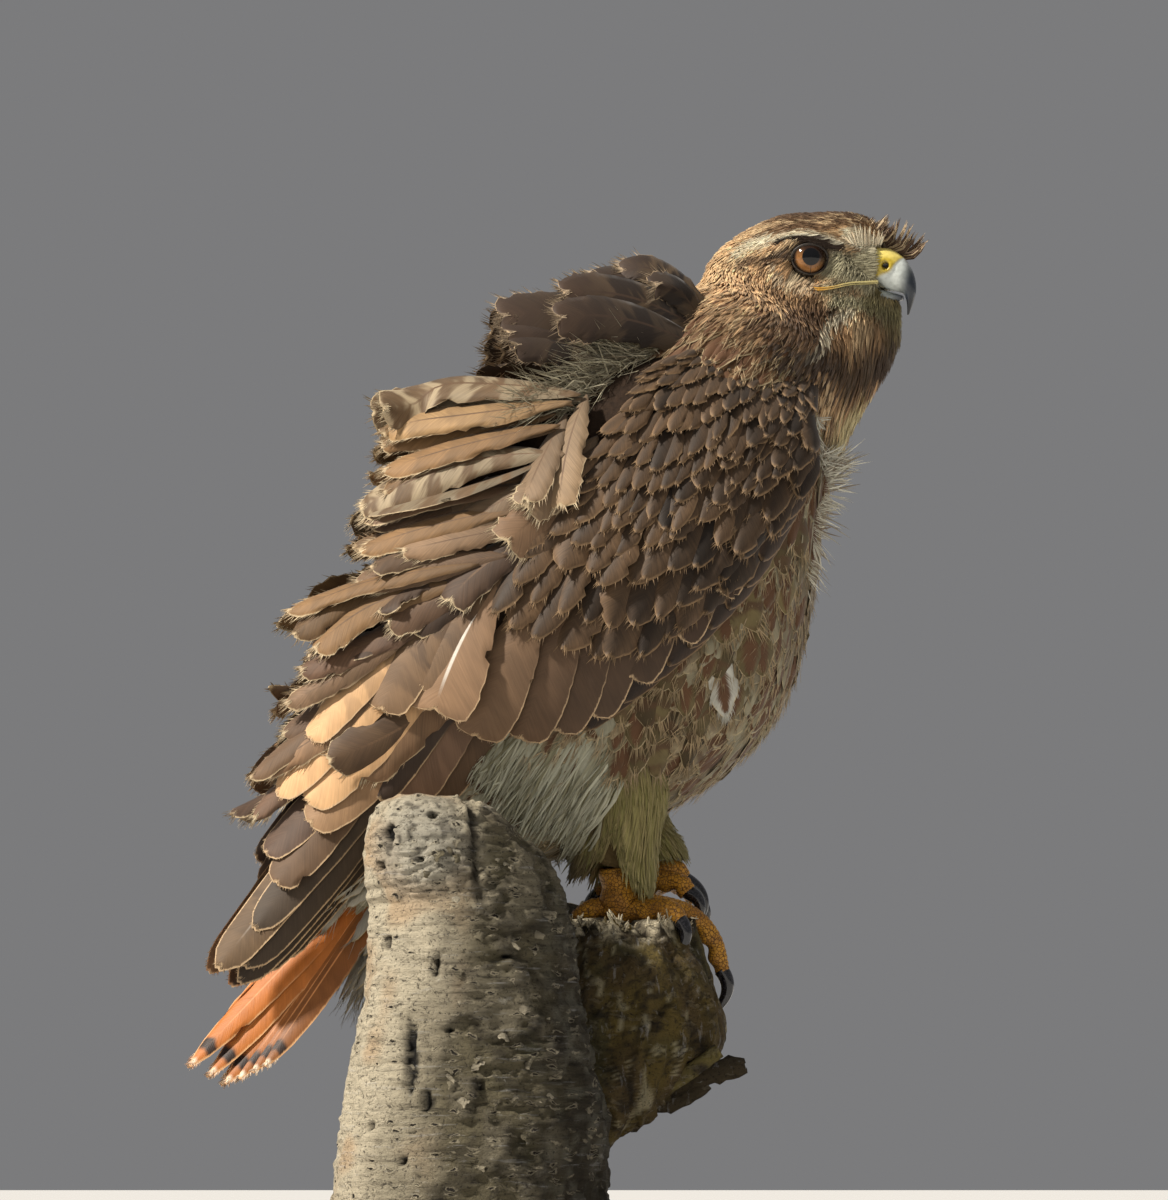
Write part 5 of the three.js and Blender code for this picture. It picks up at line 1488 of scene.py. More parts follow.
def make_tail():
    surface = feather_material("tail", rim=srgb(228, 176, 124), rim_width=(1.1, 1.2),
                               band=(0.865, 0.91, srgb(44, 28, 20)), tip=(0.94, TAIL_TIP),
                               shaft=srgb(214, 146, 92), grain=0.22, roughness=0.5)
    coat = Feathers("tail_fan", surface, "tail_feather", columns=11, rows=31, sheet=True, cells=True,
                    replaced=("tail",), barbs="tail")
    along, up = np.array(TAIL_TIPS, float).T
    i = np.arange(len(TAIL_TIPS))
    for hand in (1, -1):
        drop = TAIL_DROP * (i + (0 if hand > 0 else 0.5)) - 2
        root_right, tip_right = (hand * (x + y * i) for x, y in zip(TAIL_MIDDLE, TAIL_SPACING))
        root, end = tail_place(*TAIL_ROOT, root_right, drop + 2), tail_place(along, up, tip_right, drop)
        slope = hand * TAIL_SLOPE
        out = body_direction(TAIL_OUT[0] * math.cos(slope), TAIL_OUT[1] * math.cos(slope), math.sin(slope))
        # Each feather further under is browner and darker, as painted shade under those above it.
        tint = varied(blend(ORANGE, srgb(120, 78, 44), i / 6), len(i), 0.06)
        coat.add(straight(root, end, 5), np.broadcast_to(out, (len(i), 3)), 9.0, LONG_PLAN, tint,
                 ragged=0.08, notch=0.03, sweep=0.5, thick=0.5,
                 fray={"each": 50, "reach": 2.0, "low": 0.9, "thin": 0.2, "shade": TAIL_TIP})
    coat.make()
    coat.barbs.make()


# Their roots and tips as along and up, half width, tint and how many
TAIL_COVERTS = [
    ((-54, 198), (-88, 176), 8, WHITE * 0.8, 40),
    ((-46, 190), (-66, 142), 6, DOWN * 0.8, 70),
    ((-50, 204), (-78, 196), 9, srgb(140, 104, 72), 30),
    ((-20, 214), (-44, 168), 8, WHITE * 0.9, 90),
]


def make_tail_coverts():
    coat = Feathers("tail_coverts", PLAIN_COAT, "pale_feather", columns=5, rows=10, cells=True,
                    barbs="tail_coverts")
    for root, tip, half, tint, count in TAIL_COVERTS:
        right = rng.uniform(-19, 19, count)
        start = body_point(root[0] + rng.normal(0, 4, count), root[1] + rng.normal(0, 4, count), right * 0.7)
        end = body_point(tip[0] + rng.normal(0, 7, count) + np.abs(right) * 0.4,
                         tip[1] + rng.normal(0, 7, count), right * 1.1)
        out = body_direction(np.full(count, TAIL_OUT[0]), TAIL_OUT[1], right / 20)
        coat.add(straight(start, end, 4), out, half * rng.uniform(0.5, 1.0, count), ROUND_PLAN,
                 varied(tint, count, 0.1), ragged=0.4, notch=0.25, curl=rng.uniform(-3, 3, count),
                 fray={"each": 6, "reach": 9, "low": 0.4, "spread": 0.3, "thin": 0.2})
    coat.make()
    coat.barbs.make()


make_tail()
make_tail_coverts()

# The feathered flanks and legs, draped over the body and the thighs

MAP_LOW, MAP_STEP, MAP_SHAPE = np.array([-90.0, 150.0]), 4.0, (70, 60)


def side_map(side):
    """How far out of the body's middle the coat stands, over a grid of places in the side view."""
    u, v = np.meshgrid(np.linspace(0, 11, 260), side * np.linspace(0, math.pi, 160))
    path, radii = thigh_path(side, 80)
    thigh = tube_rings(path, radii, 90, up=(0, 1, 0))
    along, up, right = body_place(np.concatenate([skin(u, v).reshape(-1, 3), thigh.reshape(-1, 3)]))
    i, j = (np.round((np.stack([along, up], -1) - MAP_LOW) / MAP_STEP).astype(int)).T
    inside = (i >= 0) & (j >= 0) & (i < MAP_SHAPE[0]) & (j < MAP_SHAPE[1])
    grid = np.zeros(MAP_SHAPE)
    np.maximum.at(grid, (i[inside], j[inside]), (right * side)[inside])
    for _ in range(3):
        padded = np.pad(grid, 1, mode="edge")
        grid = sum(padded[1 + a:1 + a + MAP_SHAPE[0], 1 + b:1 + b + MAP_SHAPE[1]]
                   for a, b in ((0, 0), (1, 0), (-1, 0), (0, 1), (0, -1))) / 5
    return grid


SIDE_MAPS = {side: side_map(side) for side in SIDES}


def drape(place, side, lift):
    """Points of the side view laid on the flank, and the way out of it."""

    def depth(along, up):
        at = (np.stack([along, up], -1) - MAP_LOW) / MAP_STEP
        i = np.clip(np.floor(at).astype(int), 0, np.array(MAP_SHAPE) - 2)
        f, g = np.moveaxis(np.clip(at - i, 0, 1), -1, 0)
        grid, (a, b) = SIDE_MAPS[side], np.moveaxis(i, -1, 0)
        return mix(mix(grid[a, b], grid[a + 1, b], f), mix(grid[a, b + 1], grid[a + 1, b + 1], f), g)

    along, up = place[..., 0], place[..., 1]
    e = 5.0
    slope_along = (depth(along + e, up) - depth(along - e, up)) / (2 * e)
    slope_up = (depth(along, up + e) - depth(along, up - e)) / (2 * e)
    out = body_direction(-slope_along * 0.8, -slope_up * 0.8, side * np.ones_like(along))
    return body_point(along, up, side * depth(along, up)) + out * lift[..., None], out


def draped(coat, side, roots, tips, half, lift, tint, plan=ROUND_PLAN, bow=0.0, **more):
    """Feathers over the flank, between roots and tips in the side view, standing off it by lift."""
    spine, out = drape(bowed(roots, tips, bow), side, lifted(lift, len(roots)))
    coat.add(spine, out, half, plan, tint, **more)


# Rows of flank feathers from the lowest up: ends of the line of tips, length, half width, how many
FLANK = [
    ((4, 226), (76, 238), 40, 8.5, 9), ((-4, 238), (92, 250), 42, 9, 11),
    ((4, 250), (104, 262), 42, 9.5, 11), ((16, 262), (114, 280), 42, 10, 10),
    ((34, 274), (124, 306), 40, 10, 9), ((60, 290), (132, 334), 38, 10, 8),
]
# Both are darkened as painted shade, as the flank lies under the wing.
FLANK_PALE, FLANK_DARK = srgb(114, 100, 64), srgb(64, 50, 26)
# One white feather that hangs loose: its root and tip
LOOSE_ROOT, LOOSE_TIP = (88.0, 303), (93.4, 261)


THIGH_POINTS, THIGH_BLADES = 40, 3500


def add_flank_row(coat, side, low, high, length, half, count):
    """A row of flank feathers, some barred, and pale near the vent."""
    f = (np.arange(count) + rng.uniform(0.2, 0.8, count)) / count
    tips = blend(low, high, f) + rng.normal(0, 2, (count, 2))
    slant = np.radians(mix(28, -8, f) + rng.normal(0, 7, count))
    roots = tips + length * np.stack([np.sin(slant), np.cos(slant)], -1)
    barred = rng.random(count) < 0.55
    vent = step(48, 28, tips[:, 0]) * step(264, 248, tips[:, 1])
    barred = barred & (vent < 0.5)
    ground = blend(FLANK_PALE, FLANK_DARK, rng.random(count) * (0.5 + 0.5 * barred))
    half = half * rng.uniform(0.85, 1.15, count)
    lift = (-4, rng.uniform(0.5, 2.5, count))
    draped(coat, side, roots, tips, half, lift, varied(blend(ground, VENT, vent), count, 0.06),
           bars=barred * 0.9, streak=np.where(barred | (vent > 0.5), 0, 0.5), ragged=0.3, notch=0.12,
           camber=0.2, bow=rng.normal(0, 1.5, count),
           fray={"each": 24, "reach": 7, "low": 0.45, "spread": 0.22, "thin": 0.24, "shade": BUFF * 0.65})


def make_flanks():
    coat = Feathers("coat_flanks", PLAIN_COAT, "pale_feather", columns=7, rows=13, cells=True, barbs="flanks")
    for side in SIDES:
        for row in FLANK:
            add_flank_row(coat, side, *row)
        draped(coat, side, np.array([LOOSE_ROOT]), np.array([LOOSE_TIP]), 9.0, (-3, 3.6), WHITE * 0.62,
               streak=0.5, ragged=0.15, notch=0.1, camber=0.15,
               fray={"each": 60, "reach": 4, "low": 0.4, "spread": 0.3, "thin": 0.2})
    coat.make()
    coat.barbs.make()


def thigh_places(side, angle):
    """A function for points over the thigh at each angle round it: how far down and how far off it."""
    path, radii = thigh_path(side, THIGH_POINTS)
    ahead = unit(np.gradient(path, axis=0))
    across = unit(np.cross(ahead, [0, 1, 0]))
    other = np.cross(ahead, across)
    cos, sin = np.cos(angle)[:, None, None], np.sin(angle)[:, None, None]

    def place(g, lift):
        at = np.clip(g, 0, 1) * (THIGH_POINTS - 1)
        beyond = np.clip(g - 1, 0, None)[..., None] * 74
        way = cos * smooth(across, at) + sin * smooth(other, at)
        radius = smooth(radii, at) - 2
        return smooth(path, at) + smooth(ahead, at) * beyond + way * (radius + lift)[..., None], way

    return place


def add_trousers(coat, side):
    """Hanging tufts round a thigh, with a shorter hem on the outside, over the foot."""
    count = THIGH_BLADES
    f, angle = spread_evenly(count)
    angle = 2 * math.pi * angle
    facing = math.radians(90 if side > 0 else -90) % (2 * math.pi)
    opening = np.exp(-((angle - facing) / math.radians(27)) ** 2)
    hem = mix(1.1, 0.8, opening) + rng.normal(0, 0.035, count)
    length = rng.uniform(20, 36, count)
    end = np.minimum(f + length / 78, hem)
    start = np.minimum(f, end - 0.12)
    down = np.linspace(0, 1, 5)
    g = start[:, None] + (end - start)[:, None] * down
    loose = rng.uniform(0.2, 2.2, count)[:, None]
    flare = np.where(np.cos(angle) > 0, 10.0, 4.0) * np.abs(np.cos(angle))
    spread = flare[:, None] * step(0.68, 1.02, g)
    spine, out = thigh_places(side, angle)(g, -3.0 + (3 + loose) * down[None] + spread)
    # Darker olive in patches towards the back of the thigh: painted shade.
    back = step(-0.3, 0.7, -np.cos(angle))
    patches = noise(np.stack([f * 5, angle * 1.3, 0 * f], -1), 1.0, 5)
    shade = blend(srgb(132, 126, 72), srgb(80, 66, 32), back * step(-0.7, 0.3, patches) * 0.9)
    tint = varied(blend(shade, BUFF * 0.9, rng.random(count) * 0.3), count, 0.06)
    coat.add(spine, out, rng.uniform(0.4, 1.1, count), POINTED_PLAN, tint,
             np.stack([0.02 + 0.46 * (side > 0) + 0.44 * f, 0.02 + 0.96 * angle / 7], -1),
             ragged=0.3, camber=0.25, thick=0.2, lean=rng.normal(0, 0.12, count))


def make_trousers():
    coat = Feathers("trousers", HAIR, "pale_feather", **HAIR_GRID)
    for side in SIDES:
        add_trousers(coat, side)
    coat.make()


# The down that hangs between the legs and the tail: where it starts and ends, as along and up
VENT_BLADES = 950
VENT_ROOTS = [(-8, 262), (14, 266), (34, 262), (50, 252), (40, 232)]
VENT_TIPS = [(-22, 236), (-12, 224), (4, 207), (22, 206), (30, 200)]


def make_vent():
    coat = Feathers("vent_down", HAIR, "pale_feather", **HAIR_GRID)
    count = VENT_BLADES
    for side in SIDES:
        f, g = rng.random(count), rng.random(count)
        root, tip = on_line(VENT_ROOTS, f) + rng.normal(0, 3, (count, 2)), on_line(VENT_TIPS, f)
        root = root + (tip - root) * (0.6 * g[:, None])
        tip = root + (tip - root) * rng.uniform(0.6, 1.05, (count, 1)) + rng.normal(0, 2.5, (count, 2))
        tint = blend(srgb(184, 182, 160), srgb(112, 106, 74), rng.random(count) ** 1.5)
        draped(coat, side, root, tip, rng.uniform(0.4, 1.1, count), (-1.5, rng.uniform(0.5, 5, count)),
               varied(tint, count, 0.1), POINTED_PLAN, bow=rng.normal(0, 1.5, count),
               patch=np.stack([0.1 + 0.4 * f + 0.4 * (side > 0), 0.1 + 0.8 * g], -1), camber=0.3, ragged=0.3,
               thick=0.12, lean=rng.normal(0, 0.3, count))
    coat.make()


make_flanks()
make_vent()
make_trousers()

# Eyes

PUPIL, IRIS_EDGE, BALL_ROWS, BALL_SIDES = 0.46, 0.98, 48, 64


def eye_material():
    glass = Surface("eye_glass", 0.1, Specular_IOR_Level=0.25, Coat_Weight=0.5, Coat_Roughness=0.02)
    turn, away = glass.map_place("dial")
    angle = glass.times(turn, 2 * math.pi)
    wheel = glass.joined(glass.times(glass.math("SINE", angle), 11.0), glass.times(away, 5.0),
                         glass.times(glass.math("COSINE", angle), 11.0))
    fibres = glass.noise(wheel, 1.0, 3.0, 0.6)
    # The iris is lighter below and dark above: painted light gathered by the cornea below, and painted shade
    # of the lids and brow above.
    lower = glass.ramp(glass.math("COSINE", glass.math("SUBTRACT", angle, 0.5)), -0.6, 0.9)
    iris = glass.blend(srgb(44, 30, 22), srgb(156, 108, 62), lower)
    iris = glass.blend(iris, srgb(44, 24, 14), glass.ramp(fibres, 0.5, 0.72, 0.0, 0.6))
    iris = glass.blend(iris, srgb(30, 18, 12), glass.ramp(away, 0.72, 0.95))
    colour = glass.blend(iris, (0.003, 0.003, 0.004), glass.ramp(away, PUPIL + 0.02, PUPIL - 0.02))
    return glass.finished(glass.blend(colour, srgb(26, 20, 16), glass.ramp(away, 0.94, 1.0)))


def make_eyes():
    surface = eye_material()
    for side, name in SIDES.items():
        axis = eye_axis(side)
        top = unit(np.array([0, 0, 1.0]) - axis * axis[2])
        across = np.cross(axis, top)
        polar = np.linspace(0.02, math.pi - 0.02, BALL_ROWS)[:, None]
        turn = np.linspace(0, 2 * math.pi, BALL_SIDES, endpoint=False)[None] + math.pi / BALL_SIDES
        bulge = EYE_RADIUS * (1 + 0.05 * np.exp(-(polar / 0.5) ** 2))[..., None]
        way = (np.cos(polar)[..., None] * axis + np.sin(polar)[..., None]
               * (np.cos(turn)[..., None] * -top + np.sin(turn)[..., None] * across))
        points, faces = capped_grid(eye_centre(side) + bulge * way)
        dial = np.stack(np.broadcast_arrays(turn / (2 * math.pi), polar / IRIS_EDGE), -1).reshape(-1, 2)
        dial = np.concatenate([dial, [[0, 0]], [[0, 3]]])
        mesh = mesh_of("eyeball_" + name, points, faces, maps={"dial": dial})
        link("eyeball_" + name, mesh, surface, ("eye_" + name,))
        make_lids(side, name, axis, top, across)


# Half width of the opening, and its half height over and under the eye's middle
LID_WIDE, LID_HIGH = 7.9, (5.6, 7.3)
LID_POINTS, LID_SIDES = 72, 12


def make_lids(side, name, axis, top, across):
    angle = np.linspace(0, 2 * math.pi, LID_POINTS, endpoint=False)
    high = np.where(np.sin(angle) > 0, LID_HIGH[0], LID_HIGH[1])
    x, y = LID_WIDE * np.cos(angle), high * np.sin(angle)
    depth = np.sqrt(EYE_RADIUS**2 - x**2 - y**2)
    turn = np.linspace(0, 2 * math.pi, LID_SIDES, endpoint=False)
    centre = eye_centre(side) + x[:, None] * across + y[:, None] * top + (depth + 0.1)[:, None] * axis
    outwards = unit(x[:, None] * across + y[:, None] * top)
    thick = np.where(np.sin(angle) > 0, 0.75, 0.5)[:, None, None]
    ring = (np.cos(turn)[None, :, None] * outwards[:, None] * thick
            + np.sin(turn)[None, :, None] * axis * 0.45)
    points = (centre[:, None] + outwards[:, None] * 0.3 + ring).reshape(-1, 3)
    faces = grid_faces(LID_POINTS + 1, LID_SIDES) % (LID_POINTS * LID_SIDES)
    made = bpy.data.materials.get("lid") or lid_material()
    link("lid_" + name, mesh_of("lid_" + name, points, [faces]), made)


def lid_material():
    surface = Surface("lid", 0.55)
    folds = surface.noise(surface.place(), 1400.0, 3.0)
    colour = surface.blend(srgb(26, 21, 17), srgb(66, 54, 42), surface.ramp(folds, 0.35, 0.75))
    return surface.finished(colour, folds, 0.6, 0.2)


make_eyes()

# The bill, with its cere, nostrils and the yellow line of the mouth

# Sections of its halves: top and bottom edge as forward and up, and half width
UPPER_BILL = [
    (20, 5, 20, -12, 9.5), (27, 5, 25.5, -12.2, 8.6), (32, 4, 29.5, -14, 7.4), (37.4, 0.3, 32.5, -15, 6),
    (41, -4.5, 35.5, -15.8, 5), (43, -10, 38, -17, 4), (43.4, -15.5, 39, -19.5, 2.9),
    (42.2, -20.5, 39.4, -22.2, 1.8), (40.2, -26.3, 39.4, -26.5, 0.5),
]
LOWER_BILL = [
    (14, -15.5, 14, -21, 8.4), (22, -14, 22, -20.6, 7.2), (28, -14.6, 28, -20.4, 5.6),
    (33, -16, 33, -20.2, 4.2), (37.2, -17.4, 37, -19.6, 2.2),
]
NOSTRIL = (31.2, -4.2)
# The line of the mouth, as forward, up and right
GAPE = [
    (1.6, -15.0, 21.6), (4, -15.6, 21.4), (10, -14.9, 19.6), (17, -13.2, 16.6), (23, -12.6, 13),
    (28.5, -12.2, 9.6),
]
# The lips over and under it: how far up they lie, and their radii from the corner on
LIPS = [(0.4, [0.2, 0.45, 0.42, 0.46, 0.6, 0.7]), (-0.45, [0.2, 0.45, 0.34, 0.3, 0.3, 0.2])]


def bill_rings(sections, rows, sides):
    table = smooth(sections, np.linspace(0, len(sections) - 1, rows))
    v = np.linspace(0, 2 * math.pi, sides, endpoint=False)[None]
    top, low, half = table[:, 0:2], table[:, 2:4], table[:, 4:5]
    middle, reach = (top + low) / 2, (top - low) / 2
    forward = middle[:, 0:1] + reach[:, 0:1] * np.cos(v)
    up = middle[:, 1:2] + reach[:, 1:2] * np.cos(v)
    return head_point(forward, up, np.sign(np.sin(v)) * np.abs(np.sin(v)) ** 0.9 * half)


def horn_material():
    horn = Surface("bill_horn", 0.25, Specular_IOR_Level=0.5, Coat_Weight=0.2, Coat_Roughness=0.2)
    place = horn.place()
    stain = horn.ramp(horn.noise(place, 500.0, 4.0), 0.3, 0.7, 0.86, 1.1)
    return horn.finished(horn.shaded(horn.tint(), stain), horn.noise(place, 1600.0), 0.25, 0.15)


def make_upper_bill(surface):
    """The upper half with its cere and nostrils."""
    points, faces = capped_grid(bill_rings(UPPER_BILL, 90, 72))
    forward, up, right = head_place(points)
    cere = step(-7.4, -5.6, up - 0.458 * (np.minimum(forward, 33.4) - 33.4))
    cere = cere * step(39.0, 37.4, forward - 0.83 * up)
    around = np.hypot(forward - NOSTRIL[0], up - NOSTRIL[1])
    sunk = step(2.0, 1.2, around)
    raised = np.exp(-((around - 2.6) / 0.8) ** 2)
    push = head_direction(0.2, 0, 1) * np.sign(right)[:, None]
    points = points + push * (0.5 * cere + 0.35 * raised - 1.8 * sunk)[:, None] * (np.abs(right) > 2)[:, None]
    horn = blend(srgb(214, 220, 214), srgb(46, 52, 60), step(34.5, 42.5, forward - 0.3 * (up + 10)))
    horn = blend(horn, srgb(30, 32, 38), step(-17, -22, up))
    # The cere is paler on top as painted light, and deeper yellow round the nostril.
    soft = blend(srgb(232, 212, 118), srgb(196, 170, 56), np.clip(raised + step(2, -4, up), 0, 1))
    tint = blend(horn, soft, np.clip(cere + raised * 0.8, 0, 1))
    # Near black inside the nostril, as painted shade in the hole.
    tint = blend(tint, srgb(20, 16, 12), sunk)
    tinted("maxilla_horn", (points, faces), tint, surface, ("maxilla",))


def make_gape(surface, side, name):
    """The two lips of a side."""
    f = np.linspace(0, 1, 40)
    for lip, (rise, radii) in zip(("upper", "lower"), LIPS):
        path = on_line([head_point(u, w + rise, side * t) for u, w, t in GAPE], f)
        grid = capped_grid(tube_rings(path, on_line(radii, f), 14, flat=0.8))
        tint = blend(srgb(206, 152, 56), srgb(196, 182, 122), step(2, 18, head_place(grid[0])[0]))
        tinted(f"gape_{name}_{lip}", grid, tint, surface)


def make_bill():
    surface = horn_material()
    make_upper_bill(surface)
    grid = capped_grid(bill_rings(LOWER_BILL, 40, 48))
    tint = blend(srgb(160, 166, 160), srgb(70, 74, 80), step(28, 37, head_place(grid[0])[0]))
    tinted("mandible_horn", grid, tint, surface, ("mandible",))
    for side, name in SIDES.items():
        make_gape(surface, side, name)


make_bill()

# Feet and claws

# Each toe's path from the pad of its foot, and its claw's bend and tip, as x, y and z
HIND_TOE = ([(0, 0, 0), (-11, 1, 1), (-20, 2, -4)], [(-25, 2, -14), (-17, 2, -22)])
TOES = {
    1: {
        "middle": ([(0, 0, 0), (17, 6, 2), (32, 11, -2), (42, 14, -13), (46, 15, -27)],
                   [(50, 15, -37), (38, 15, -49)]),
        "inner": ([(0, 0, 0), (13, 10, 1), (24, 17, 1), (30, 20, -6)], [(33, 22, -16), (26, 21, -24)]),
        "outer": ([(0, 0, 0), (12, -6, 0), (22, -12, 0), (27, -14, -5)], [(30, -15, -14), (23, -14, -21)]),
        "hind": HIND_TOE,
    },
    -1: {
        "middle": ([(0, 0, 0), (8, 2, 6), (16, 4, 7), (19, 5, 3)], [(31, 6, -5), (26, 6, -18)]),
        "inner": ([(0, 0, 0), (10, -6, 2), (18, -10, 0), (21, -11, -4)], [(28, -13, -8), (25, -12, -20)]),
        "outer": ([(0, 0, 0), (10, 12, 2), (20, 20, 1), (25, 23, -5)], [(31, 26, -13), (25, 25, -23)]),
        "hind": HIND_TOE,
    },
}
TOE_RADII = [6.5, 4.8, 4.4, 3.6]
CLAW_RADII = [3.5, 3.2, 2.6, 1.8, 0.3]
TOE_SIDES = 28
# How far apart a toe's cross scutes and its pads lie
SCUTE, PADS = 2.6, 11


def foot_material():
    scales = Surface("foot_skin", 0.5, Specular_IOR_Level=0.4)
    place = scales.place()
    cells = scales.add("TexVoronoi", {"Vector": place, "Scale": 620.0}, feature="DISTANCE_TO_EDGE").outputs[0]
    gaps = scales.ramp(cells, 0.0, 0.12)
    patch = scales.ramp(scales.noise(place, 120.0, 3.0), 0.35, 0.7)
    colour = scales.blend(srgb(92, 60, 28), scales.blend(srgb(196, 140, 44), srgb(160, 110, 40), patch), gaps)
    return scales.finished(colour, gaps, 0.7, 0.4)


def toe_rings(path, radii, rows=70):
    """Rings of a toe with cross scutes over its top and pads below."""
    at = np.linspace(0, len(path) - 1, rows)
    path = smooth(path, at)
    radii = on_line(radii, np.linspace(0, 1, rows))
    run = np.concatenate([[0], np.cumsum(np.linalg.norm(np.diff(path, axis=0), axis=1))])
    rings = tube_rings(path, radii, TOE_SIDES)
    turn = np.linspace(0, 2 * math.pi, TOE_SIDES, endpoint=False)
    top = np.clip(np.sin(turn), 0, 1)[None]
    scutes = 0.35 * np.abs(np.sin(math.pi * run / SCUTE))[:, None] * top
    pads = 0.9 * np.sin(2 * math.pi * run / PADS)[:, None] * np.clip(-np.sin(turn), 0, 1)[None]
    return rings + unit(rings - path[:, None]) * (scutes + pads)[..., None]


def make_feet():
    surface = foot_material()
    for side, name in SIDES.items():
        leg = LEGS[side]
        pad, ankle = np.array(leg["pad"], float), body_point(*leg["ankle"])
        pieces = [capped_grid(toe_rings([ankle, (ankle + pad) / 2, pad], [7, 7.6, 9], 40))]
        pieces += [capped_grid(toe_rings(np.array(path) + pad, TOE_RADII)) for path, _ in TOES[side].values()]
        starts = np.cumsum([0] + [len(points) for points, _ in pieces])
        faces = [f + start for (_, some), start in zip(pieces, starts) for f in some]
        mesh = mesh_of("foot_skin_" + name, np.concatenate([points for points, _ in pieces]), faces)
        link("foot_skin_" + name, mesh, surface, ("foot_" + name,))
        make_claws(side, name, pad)


def claw_material():
    horn = Surface("claw_horn", 0.22, Specular_IOR_Level=0.5, Coat_Weight=0.4, Coat_Roughness=0.12)
    fine = horn.noise(horn.place(), 900.0, 3.0)
    colour = horn.blend(srgb(16, 16, 20), srgb(52, 50, 54), horn.ramp(fine, 0.4, 0.75))
    return horn.finished(colour, fine, 0.2, 0.12)


def make_claws(side, name, pad):
    surface = bpy.data.materials.get("claw_horn") or claw_material()
    for toe, (path, claw) in TOES[side].items():
        ends = np.array([*path[-2:], *claw], float) + pad
        start, tip = ends[1] - unit(ends[1] - ends[0]) * 1.0, ends[3]
        onward = start + unit(ends[1] - ends[0]) * np.linalg.norm(tip - start) * 0.5
        bend = 0.6 * (2 * ends[2] - (start + tip) / 2) + 0.4 * onward
        radii = on_line(CLAW_RADII, np.linspace(0, 1, 40))
        points, faces = capped_grid(tube_rings(arc(start, bend, tip, 40), radii, 20, up=(0, 1, 0)))
        node = f"claw_{name}_{toe}"
        link("talon_" + name + "_" + toe, mesh_of(node, points, faces), surface, (node,))


make_feet()

# The perch: up, middle as x and y, half width and half depth of the trunk and the stub, and for the
# stub how far it is cut slantwise

TRUNK_SECTIONS = [
    (38, -14.5, -45, 61.5, 53), (80, -11, -45, 58.5, 50), (110, -12, -45, 52, 45), (145, -12.5, -45, 46, 40),
    (172, -13.5, -45, 43, 38), (190, -18, -45, 40, 37), (205, -23.5, -45, 33.5, 34), (216, -28, -45, 25, 28),
    (221.5, -32, -45, 14, 18),
]
STUB_SECTIONS = [
    (58, 0, -36, 36, 26, 0), (78, 16, -20, 44, 34, 0), (96, 34, 0, 48, 42, 0), (112, 46, 14, 51, 48, 0),
    (128, 50, 22, 48, 50, 0.02), (150, 53, 29, 38, 46, 0.1), (164, 54, 34, 31, 42, 0.18),
]
# GREY_BARK is the bark in painted shade, which covers the trunk's right side.
SILVER, WARM_BARK, GREY_BARK = srgb(206, 194, 168), srgb(190, 154, 114), srgb(104, 96, 74)
MOSS, BARK_DARK, ROTTEN, SPLINTER = srgb(76, 74, 46), srgb(36, 30, 23), srgb(104, 88, 44), srgb(232, 218, 186)
KNOB_GREY, HOLE_SHADE = srgb(184, 178, 162), srgb(10, 8, 6)
# The big knob at the trunk's top, and how far apart its whorls lie
KNOB, KNOB_RADIUS, WHORL = np.array([-37.0, -80, 199]), 22.0, 3.4
# The line of the crease, as x and up
CREASE = [(-13.5, 219), (-13, 212), (-10, 200), (-9.5, 186), (-6.5, 172)]
# Holes in the trunk's face: x, up, half width and half height
HOLES = [
    (-45.7, 203.7, 2.6, 3.6), (-47.9, 156.7, 1.4, 3.2), (-37.6, 106, 2.4, 14), (-30.4, 87, 2.0, 5),
    (-26.5, 146, 1.5, 5), (-50, 190, 1.2, 1.8), (-28, 211, 1.5, 1.2), (-33, 192, 1.0, 1.4),
    (-20, 118, 1.2, 1), (-42, 62, 1.4, 2), (-55, 76, 1.2, 1.6), (-8, 94, 1.4, 2.4), (4, 150, 2.2, 0.9),
]


FLAKES, SPLINTERS = 46, 150
# Where round its top the stub has splinters, as shares of a turn
SPLINTER_GROUPS = [0.62, 0.66, 0.72, 0.75, 0.82, 0.86, 0.93, 0.1, 0.3, 0.45]


